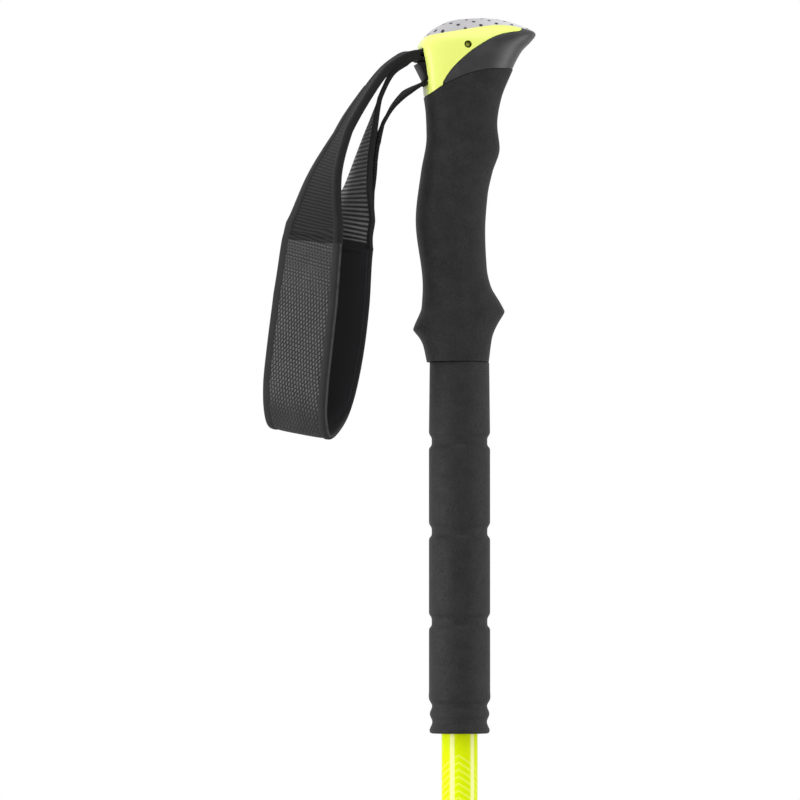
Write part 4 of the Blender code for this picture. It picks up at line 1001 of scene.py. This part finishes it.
def make_grip_foam(material):
    """Hand grip, with a lip that goes up inside the palm rest and the shell and closes their seam."""
    foam = whole_grip("hand_grip_foam", proud=FOAM_PROUD)
    top = seam(FOAM_TOP, -HALF_GAP)
    deep = GRIP_BACK[0][0] * MM - CUT_MARGIN
    keep_zone(foam, top + [(top[-1][0], deep), (top[0][0], deep)])
    lip = whole_grip("foam_lip", FOAM_LIP_INSET)
    keep_zone(lip, seam(FOAM_TOP, FOAM_LIP_RISE) + seam(FOAM_TOP, -FOAM_LIP_DEPTH)[::-1])
    combine(foam, lip, "UNION")
    room, step = SLEEVE_RADIUS + GAP, SLEEVE_BOTTOM - GAP
    bore = [(0, ABOVE_GRIP), (room, ABOVE_GRIP), (room, step), (TUBE_SEAT_RADIUS, step),
            (TUBE_SEAT_RADIUS, deep), (0, deep)]
    combine(foam, spun("foam_bore", bore))
    fitted(smoothed(foam, FOAM_SMOOTH_DEG), material, "grip_foam")


def make_pin(material):
    """Cross pin with a shallow dish in each end and a low boss in the dish."""
    ends = [vertex.co.y for vertex in frame["nodes"]["strap_pin"].data.vertices]
    profile = [(PIN_BOSS_RADIUS - PIN_EASE, PIN_BOSS_DEPTH), (PIN_BOSS_RADIUS, PIN_BOSS_DEPTH + PIN_EASE),
               (PIN_BOSS_RADIUS, PIN_DISH_DEPTH), (PIN_DISH_RADIUS, PIN_DISH_DEPTH),
               (PIN_DISH_RADIUS, PIN_EASE), (PIN_DISH_RADIUS + PIN_EASE, 0.0), (PIN_RADIUS - PIN_EASE, 0.0),
               (PIN_RADIUS, PIN_EASE)]
    rings = [(radius, min(ends) + depth) for radius, depth in profile]
    rings += [(radius, max(ends) - depth) for radius, depth in profile[::-1]]
    sections = []
    for radius, y in rings:
        sections.append([(x, y, z) for x, z in arc(pin_place(), radius, 0, 360, PIN_STEPS)[:-1]])
    fitted(smoothed(skinned("strap_cross_pin", sections)), material, "strap_pin")


def eased(outline, width):
    """Round each corner of an open line of radius and height with a short arc."""
    eased_line = [outline[0]]
    for before, corner, after in zip(outline, outline[1:], outline[2:]):
        before, corner, after = Vector(before), Vector(corner), Vector(after)
        reach = min(width, (corner - before).length * EASE_SHARE, (after - corner).length * EASE_SHARE)
        start = corner + (before - corner).normalized() * reach
        end = corner + (after - corner).normalized() * reach
        for k in range(EASE_STEPS + 1):
            t = k / EASE_STEPS
            eased_line.append(tuple(start * (1 - t)**2 + corner * 2 * t * (1 - t) + end * t**2))
    eased_line.append(outline[-1])
    return eased_line


def extension_outline():
    """Outside of the extension grip from the top down: three grooves, then two waves at its foot."""
    radius = EXTENSION_RADIUS
    line = [(TUBE_SEAT_RADIUS, EXTENSION_TOP), (radius - EXTENSION_TOP_TAPER, EXTENSION_TOP)]
    for middle in GROOVE_MIDDLES:
        line += [(radius - share * GROOVE_DEPTH, middle + rise * MM) for rise, share in GROOVE_SHAPE]
    waves = [(radius - depth * MM, EXTENSION_BOTTOM + rise * MM) for rise, depth in FOOT_WAVES]
    line.append(waves[0])
    return eased(line, EXTENSION_EDGE) + rounded_line(waves)[1:] + [(TUBE_SEAT_RADIUS, EXTENSION_BOTTOM)]


def make_extension_foam(material):
    foam = spun("extension_grip_foam", extension_outline())
    fitted(smoothed(foam, FOAM_SMOOTH_DEG), material, "extension_foam")


def make_upper_tube(material):
    outside, edge, bore = TUBE_RADIUS, TUBE_RADIUS - TUBE_LIP, TUBE_RADIUS - TUBE_WALL
    outline = [(edge, TUBE_TOP), (outside, TUBE_TOP - TUBE_LIP), (outside, TUBE_BOTTOM + TUBE_LIP),
               (edge, TUBE_BOTTOM), (bore, TUBE_BOTTOM), (bore, TUBE_TOP)]
    fitted(smoothed(spun("lacquered_upper_tube", outline)), material, "upper_shaft")


# Strap

class Station(NamedTuple):
    """Place on the strap's middle line, three directions, the width there, and the length so far."""

    spot: Vector
    across: Vector
    outward: Vector
    along: Vector
    width: float
    travelled: float

    def at_edge(self, side, inset):
        return self.spot + self.across * side * (self.width / 2 - inset)


def stations_at(rows):
    """Stations at rows of place, turn, droop and width."""
    stations, travelled = [], 0.0
    for i, (spot, turn, droop, width) in enumerate(rows):
        before, after = rows[max(i - 1, 0)][0], rows[min(i + 1, len(rows) - 1)][0]
        along = (after - before).normalized()
        turn, droop = math.radians(turn), math.radians(droop)
        level = math.cos(droop)
        across = Vector((math.sin(turn) * level, -math.cos(turn) * level, -math.sin(droop)))
        across = (across - along * across.dot(along)).normalized()
        travelled += (spot - before).length
        stations.append(Station(spot, across, along.cross(across), along, width, travelled))
    return stations


def stations_along(rows):
    """Stations on a smooth line through rows of place, turn, droop and width."""
    fine = []
    for k, spot in enumerate(curved([row[0] for row in rows], STRAP_SPANS)):
        i = min(k // STRAP_SPANS, len(rows) - 2)
        share = (k - i * STRAP_SPANS) / STRAP_SPANS
        fine.append((spot, *(between(ends, share) for ends in zip(rows[i][1:], rows[i + 1][1:]))))
    return stations_at(fine)


def moved_along(here, distance):
    return here._replace(spot=here.spot + here.along * distance, travelled=here.travelled + distance)


def trimmed_at_far_edge(here):
    trim = smooth(in_metres(FAR_EDGE_TRIM), here.spot.z)
    return here._replace(spot=here.spot + here.across * trim / 2, width=here.width - trim)


def grown_width(growth):
    return WEB_WIDTH + growth * (BAND_WIDTH - WEB_WIDTH)


def leg_rows(leg, start):
    """Rows from where a leg or the tail leaves the slot."""
    rows = [(start - Vector((GAP, 0, 0)), 0.0, 0.0, WEB_WIDTH)]
    for *place, turn, droop, growth in leg:
        rows.append((start + Vector(place) * MM, turn, droop, grown_width(growth)))
    return rows


def strap_lines():
    """Stations of the outer leg, the wrist band and the inner leg."""
    outer_rows, inner_rows = (leg_rows(leg, Vector((SLOT_MOUTH_X, 0.0, height)))
                              for leg, height in zip((OUTER_LEG, INNER_LEG), leg_heights()))
    band_rows = [(strap_mouth() + Vector(place) * MM, BAND_TURN_DEG, BAND_DROOP_DEG, grown_width(growth))
                 for *place, growth in BAND]
    stations = stations_along(outer_rows + band_rows + inner_rows[::-1])
    lowest = min(range(len(stations)), key=lambda k: stations[k].spot.z)
    stations[:lowest] = [trimmed_at_far_edge(here) for here in stations[:lowest]]
    first = len(outer_rows) * STRAP_SPANS
    last = first + (len(BAND) - 1) * STRAP_SPANS
    outer_leg = stations[:first] + [moved_along(stations[first], -GAP)]
    inner_leg = [moved_along(stations[last], GAP)] + stations[last + 1:]
    return outer_leg, stations[first:last + 1], inner_leg


def tail_line(inner_leg):
    """Stations and half thicknesses of the tail, which is free down to the seam and then sewn to the leg.

    The sewn end gets thinner and closer to the leg as the seam presses it flat.
    """
    held = [here for here in inner_leg[::-1] if TAIL_SEWN_FROM < strap_mouth().z - here.spot.z < TAIL_SEWN_TO]
    pressed, pressed_halves = [], []
    for k, here in enumerate(held):
        thin = eased_share(k / (len(held) - 1), TAIL_THINS_FROM, 1.0)
        half = between((HALF_TAIL_THICKNESS, TAIL_END_HALF_THICKNESS), thin)
        beside = HALF_WEB_THICKNESS + TAIL_GAP * (1 - thin) + half
        spot = here.at_edge(1, HALF_WEB + TAIL_END_INSET * thin) + here.outward * beside
        pressed.append(Station(spot, here.across, -here.outward, -here.along, WEB_WIDTH, -here.travelled))
        pressed_halves.append(half)
    start_x, start_z = in_metres(CLAMPED_END)[0]
    rows = leg_rows(FREE_TAIL, Vector((start_x, 0.0, start_z)))
    across = pressed[0].across
    turn, droop = math.atan2(across.x, -across.y), -math.asin(across.z)
    rows.append((pressed[0].spot, math.degrees(turn), math.degrees(droop), WEB_WIDTH))
    free = stations_along(rows)
    shift = pressed[0].travelled - free[-1].travelled
    free = [here._replace(travelled=here.travelled + shift) for here in free[:-1]]
    return free + pressed, [HALF_TAIL_THICKNESS] * len(free) + pressed_halves


def squared_ring(half, half_thickness, squareness, steps):
    """Flat oval, as square at its edges as asked, as distances across and out."""
    ring = []
    for k in range(steps):
        angle = 2 * math.pi * k / steps
        over, up = math.cos(angle), math.sin(angle)
        ring.append((math.copysign(half * abs(over) ** (2 / squareness), over),
                     math.copysign(half_thickness * abs(up) ** (2 / squareness), up)))
    return ring


def cloth(name, stations, sizes, shape=RIBBON_SHAPE, side=0):
    """Flat band of cloth along stations; sizes are its half width, inner face and outer face at each.

    With a side, it is a tape folded over that edge, and its map goes from -1 to 1 at the fold.
    """
    sections, maps = [], []
    for here, (half, low, high) in zip(stations, sizes):
        ring = squared_ring(half, (high - low) / 2, *shape)
        middle = here.at_edge(side, half - TAPE_FOLD) if side else here.spot
        middle = middle + here.outward * (low + high) / 2
        sections.append([middle + here.across * over + here.outward * up for over, up in ring])
        maps.append([(here.travelled, over / half * side if side else over) for over, up in ring])
    return smoothed(skinned(name, sections, maps), CLOTH_SMOOTH_DEG)


def even_sizes(stations, low, high, trim=0.0):
    return [(here.width / 2 - trim, low, high) for here in stations]


def one_stitch():
    stitch = started("stitch", bpy.ops.mesh.primitive_cube_add, size=1.0)
    with editing(stitch):
        on_all(bpy.ops.transform.resize, value=(STITCH_LENGTH, STITCH_WIDTH, STITCH_WIDTH))
        on_all(bpy.ops.mesh.subdivide, number_cuts=1, smoothness=1.0)
    return stitch


def sewn(name, places, material):
    """Row of stitches: one is modelled and copied to places given as spot, along and outward."""
    pattern = one_stitch()
    copies = []
    for spot, along, outward in places:
        copy = pattern.copy()
        copy.data = pattern.data.copy()
        across = outward.cross(along).normalized()
        copy.data.transform(Matrix.Translation(spot) @ Matrix((along, across, outward)).transposed().to_4x4())
        bpy.context.scene.collection.objects.link(copy)
        copies.append(copy)
    bpy.data.objects.remove(pattern)
    take_up(copies[0])
    for copy in copies:
        copy.select_set(True)
    bpy.ops.object.join()
    fitted(smoothed(named(name), STITCH_SMOOTH_DEG), material, body="strap")


def stitch_places(stations, side, inset, out):
    """Even places along an edge of the band, at a distance from the edge and out from its middle."""
    places, following = [], stations[0].travelled + STITCH_PITCH / 2
    for here, after in zip(stations, stations[1:]):
        while following < after.travelled:
            t = (following - here.travelled) / (after.travelled - here.travelled)
            spot = here.at_edge(side, inset) + (after.spot - here.spot) * t + here.outward * out
            places.append((spot, here.along, here.outward if out > 0 else -here.outward))
            following += STITCH_PITCH
    return places


def leg_bend():
    return strap_mouth(), strap_mouth() + Vector(LEG_BEND)


def make_legs(outer_leg, inner_leg, tail, tail_halves, looks):
    """Two ribbed legs and the tail."""
    tail_bend = tail[0].spot, tail[0].spot + Vector(TAIL_BEND)
    tail_sizes = [(here.width / 2, -half, half) for here, half in zip(tail, tail_halves)]
    outer_sizes, inner_sizes = (even_sizes(leg, -HALF_WEB_THICKNESS, HALF_WEB_THICKNESS)
                                for leg in (outer_leg, inner_leg))
    for name, stations, sizes, look, node, bend in (
            ("ribbed_outer_leg", outer_leg, outer_sizes, "fine_web", "strap_outer_web", leg_bend()),
            ("ribbed_inner_leg", inner_leg, inner_sizes, "web", "strap_inner_web", leg_bend()),
            ("strap_free_tail", tail, tail_sizes, "fine_web", "strap_tail", tail_bend)):
        fitted(cloth(name, stations, sizes), looks[look], node, bend=bend)


def outer_tape_sizes(stations, halves, filler):
    """An outer tape grows from the web's thickness to the binding's; a filler under it closes the mouth."""
    sizes = []
    for here in stations:
        travelled = here.travelled - stations[0].travelled
        growth = min(travelled / LEG_TAPE_GROWS_OVER, 1.0)
        reach = between(LEG_TAPE_REACH, growth)
        below = filler * (1 - eased_share(travelled, *MOUTH_FILLER_ENDS))
        sizes.append((between(halves, growth), -reach - below, reach))
    return sizes


def inner_tape_sizes(stations):
    """The inner leg's tape is thinnest by the slot."""
    sizes = []
    for here in stations:
        share = eased_share(here.spot.z, *INNER_TAPE_THINS_OVER)
        reach = HALF_WEB_THICKNESS + between(INNER_TAPE_RISE, share)
        sizes.append((between(INNER_TAPE_HALF, share), -reach, reach))
    return sizes


def make_leg_tapes(outer_leg, inner_leg, looks):
    """Tapes folded over the legs' edges."""
    sizes = outer_tape_sizes(outer_leg, LEG_TAPE_HALF, MOUTH_FILLER)
    near_tape = cloth("outer_leg_near_tape", outer_leg, sizes, TAPE_SHAPE, 1)
    fitted(near_tape, looks["leg_tape"], bend=leg_bend())
    lower_part = outer_leg[round(FAR_TAPE_FROM * (len(outer_leg) - 1)):]
    sizes = outer_tape_sizes(lower_part, FAR_LEG_TAPE_HALF, 0.0)
    far_tape = cloth("outer_leg_far_tape", lower_part, sizes, TAPE_SHAPE, -1)
    fitted(far_tape, looks["far_binding"], body="strap")
    inner_tape = cloth("inner_leg_near_tape", inner_leg, inner_tape_sizes(inner_leg), INNER_TAPE_SHAPE, 1)
    fitted(inner_tape, looks["leg_tape"], bend=leg_bend())


def make_band(band, looks):
    """Wrist band: woven panel, smooth lining, two bindings, seams and stitches."""
    sizes = even_sizes(band, HALF_GAP, HALF_GAP + PAD_THICKNESS, PANEL_TRIM)
    panel = cloth("woven_wrist_panel", band, sizes, PANEL_SHAPE)
    fitted(panel, looks["panel"], "strap_pad", "strap")
    sizes = []
    for k, here in enumerate(band):
        covered = eased_share(k / (len(band) - 1), *LINING_COVERS_OVER)
        sizes.append((here.width / 2 - between(LINING_TRIM, covered), LINING_FACE, -HALF_GAP))
    lining = cloth("smooth_wrist_lining", band, sizes, LINING_SHAPE)
    fitted(lining, looks["lining"], "strap_lining", "strap")
    longer = [moved_along(band[0], -BINDING_OVERRUN), *band, moved_along(band[-1], BINDING_OVERRUN)]
    open_part = band[:round(LINING_STITCHED_TO * len(band))]
    outside, inside = [], []
    for edge, side, half in (("near", 1, NEAR_BINDING_HALF), ("far", -1, FAR_BINDING_HALF)):
        sizes = [(half, BINDING_INNER, BINDING_RADIUS)] * len(longer)
        tape = cloth(f"{edge}_edge_binding", longer, sizes, TAPE_SHAPE, side)
        fitted(tape, looks["band_binding"], f"strap_{edge}_binding", "strap")
        outside += stitch_places(band, side, PANEL_STITCH_INSET, PANEL_STITCH_OUT)
        inside += stitch_places(open_part, side, LINING_STITCH_INSET, BINDING_INNER)
    sewn("panel_edge_stitches", outside, looks["thread"])
    sewn("lining_edge_stitches", inside, looks["thread"])
    for name, end, look, half_length, low, high in SEAM_FOLDS:
        stations = [moved_along(band[end], half_length * k / SEAM_FOLD_STEPS)
                    for k in range(-SEAM_FOLD_STEPS, SEAM_FOLD_STEPS + 1)]
        fold = cloth(name, stations, even_sizes(stations, low, high, SEAM_FOLD_TRIM), SEAM_FOLD_SHAPE)
        fitted(fold, looks[look], body="strap")


def make_tail_tack(tail, tail_halves, looks):
    """Crossed rows of stitches that hold the end of the tail to the inner leg."""
    tack = []
    for row in range(1, TACK_ROWS + 1):
        k = -row * TACK_ROW_STATIONS
        here = tail[k]
        direction = (here.across + TACK_SLANT * here.along).normalized()
        for column in range(-TACK_COLUMNS, TACK_COLUMNS + 1):
            place = here.spot + here.across * column * TACK_PITCH - here.outward * tail_halves[k]
            tack.append((place, direction, -here.outward))
    sewn("tail_bar_tack", tack, looks["thread"])


def make_hidden_webbing(looks):
    for name, line, half, node in (
            ("webbing_round_pin", anchor_line(), HALF_WEB_THICKNESS, "strap_anchor"),
            ("clamped_tail_end", in_metres(CLAMPED_END), HALF_TAIL_THICKNESS, "strap_clamped_end")):
        stations = stations_at([(Vector((x, 0.0, z)), 0.0, 0.0, WEB_WIDTH) for x, z in line])
        fitted(cloth(name, stations, even_sizes(stations, -half, half)), looks["fine_web"], node)


# Pieces that keep the shape of their solids

def dressed(node, name, material, edge):
    """Merged copy of a solid, with its edges eased and its curved faces shaded smooth."""
    record = frame["record"]
    body = next(body for body, nodes in record["behaviour"]["bodies"].items() if node in nodes)
    mesh = frame["nodes"][node].data.copy()
    mesh.name = name
    piece = bpy.data.objects.new(name, mesh)
    bpy.context.scene.collection.objects.link(piece)
    with editing(piece):
        on_all(bpy.ops.mesh.remove_doubles, threshold=POINT_MERGE)
        on_all(bpy.ops.mesh.tris_convert_to_quads, face_threshold=math.radians(FLAT_DEG),
               shape_threshold=math.radians(SQUARE_DEG))
    if edge:
        bevel = piece.modifiers.new("ease", "BEVEL")
        bevel.width, bevel.segments = edge * MM, EDGE_STEPS
        bevel.limit_method, bevel.angle_limit = "ANGLE", math.radians(EDGE_DEG)
        take_up(piece)
        bpy.ops.object.modifier_apply(modifier=bevel.name)
    fitted(smoothed(piece), material, node, body)


def make_kept_shapes(looks):
    for lock in ("upper_lock", "lower_lock"):
        for node, name, look, edge in LOCK_PIECES:
            dressed(f"{lock}_{node}", f"{lock}_{name}", looks[look], edge)
    for node, name, look, edge in KEPT_PIECES:
        dressed(node, name, looks[look], edge)


# Studio

def stood(name, data, place, facing):
    """Put the camera or a lamp at its place, facing a direction."""
    item = bpy.data.objects.new(name, data)
    item.location = place
    item.rotation_euler = facing.to_track_quat("-Z", "Y").to_euler()
    bpy.context.scene.collection.objects.link(item)
    return item


def make_camera():
    turn, rise = math.radians(VIEW_TURN_DEG), math.radians(VIEW_RISE_DEG)
    forward = Vector((-math.sin(turn) * math.cos(rise), math.cos(turn) * math.cos(rise), math.sin(rise)))
    data = bpy.data.cameras.new("studio_camera")
    data.lens, data.sensor_width, data.sensor_height = LENS_MM, FILM_MM, FILM_MM
    place = Vector(VIEW_CENTRE) - forward * VIEW_DISTANCE
    bpy.context.scene.camera = stood("studio_camera", data, place, forward)
    return forward


def make_lamps(forward):
    right = Vector((forward.y, -forward.x, 0)).normalized()
    back = Vector((forward.x, forward.y, 0)).normalized()
    for name, height, (over, behind, above), size, power in LAMPS:
        data = bpy.data.lights.new(name, "AREA")
        data.shape = "RECTANGLE"
        data.size, data.size_y = size
        data.energy = power
        target = Vector((0, 0, height))
        place = target + right * over + back * behind + Vector((0, 0, above))
        stood(name, data, place, target - place)


def make_room(forward):
    """World that is white where it is seen and lights the object softly.

    Its reflections are white except on the camera's side of the room, which is dark.
    """
    room = Finish("studio_room", "worlds")
    direction = room.add("TexCoord", {}, {}, "Generated")
    depth = room.add("VectorMath", {"operation": "DOT_PRODUCT"}, {0: direction, 1: forward}, "Value")
    mirrored = DARK_SIDE_LIGHT + (1 - DARK_SIDE_LIGHT) * room.step(depth, *DARK_SIDE)
    camera, glossy, passing = room.rays()
    light = ROOM_LIGHT + glossy * (mirrored - ROOM_LIGHT)
    light = light + (camera + passing) * (1 - light)
    glow = room.add("Background", {}, {"Color": (1, 1, 1, 1), "Strength": light})
    room.add("OutputWorld", {}, {"Surface": glow})
    bpy.context.scene.world = room.owner


def make_floor():
    floor = started("studio_floor", bpy.ops.mesh.primitive_plane_add, size=2 * FLOOR_HALF_SIZE,
                    location=(0, 0, FLOOR_HEIGHT))
    bpy.ops.object.transform_apply(location=True, rotation=True, scale=True)
    painted(floor, floor_finish())


def make_looks(band):
    middle_tube = TUBE_RADIUS - TUBE_WALL - GAP
    lined_and_shaded = [band[round(share * (len(band) - 1))].travelled for share in LINED_AND_SHADED_OVER]
    looks = {look: grained_finish(*row) for look, *row in PLAIN_FINISHES}
    looks.update({
        "dots": dotted_pad_finish(), "lining": lining_finish(), "pin": pin_finish(),
        "grip_foam": foam_finish("grip_foam", FOAM_DARK, FOAM_PALE, gloss=0.22),
        "extension_foam": foam_finish("extension_foam", EXTENSION_DARK, EXTENSION_PALE, gloss=0.31),
        # Inner leg: painted light, with painted highlights on its ribs
        "web": ribbed_web_finish("painted_lit_ribbed_web", INNER_WEB_PAINTED_LIT_DARK, INNER_WEB_PAINTED_HIGHLIGHT, pitch=0.0022, depth=0.00045, slant=0.05),
        # Outer webbing: painted shade where its map is short of the given lengths, as by the head
        "fine_web": ribbed_web_finish("fine_ribbed_web", FINE_WEB_DARK, FINE_WEB_PALE, pitch=0.0017,
                                      depth=0.00035, slant=0.18, painted_shade_over=WEB_PAINTED_SHADE_OVER),
        "panel": woven_panel_finish(band[0].travelled),
        "far_binding": binding_finish("far_leg_tape", BINDING_DARK, BINDING_PALE, fold_highlight_strength=0.8),
        "band_binding": binding_finish("band_binding_tape", BINDING_DARK, BINDING_PALE, fold_highlight_strength=0.8,
                                       lined_and_shaded=lined_and_shaded),
        "leg_tape": binding_finish("near_leg_tape", LEG_TAPE_DARK, LEG_TAPE_PALE, fold_highlight_strength=0.0),
        "aluminium": brushed_metal_finish("brushed_aluminium", ALUMINIUM, ALUMINIUM_DULL,
                                          stretch=(300, 300, 4000), roughness=0.30),
        "steel": brushed_metal_finish("turned_steel", STEEL, STEEL_DULL, stretch=(700, 700, 3500),
                                      roughness=0.28),
        "lacquer": lacquer_finish("lime_lacquer", TUBE_RADIUS, patterned=True),
        "middle_lacquer": lacquer_finish("middle_lime_lacquer", middle_tube, patterned=False),
        "lower_lacquer": lacquer_finish("lower_lime_lacquer", middle_tube - TUBE_WALL - GAP, patterned=False),
    })
    return looks


def main():
    bpy.context.scene.view_settings.view_transform = "Standard"
    forward = make_camera()
    make_lamps(forward)
    make_room(forward)
    make_floor()
    outer_leg, band, inner_leg = strap_lines()
    looks = make_looks(band)
    make_head(looks["head"])
    make_top_pad(looks["dots"])
    make_palm_rest(looks["palm"])
    make_grip_foam(looks["grip_foam"])
    make_extension_foam(looks["extension_foam"])
    make_upper_tube(looks["lacquer"])
    make_pin(looks["pin"])
    tail, tail_halves = tail_line(inner_leg)
    make_legs(outer_leg, inner_leg, tail, tail_halves, looks)
    make_leg_tapes(outer_leg, inner_leg, looks)
    make_band(band, looks)
    make_tail_tack(tail, tail_halves, looks)
    make_hidden_webbing(looks)
    make_kept_shapes(looks)


main()
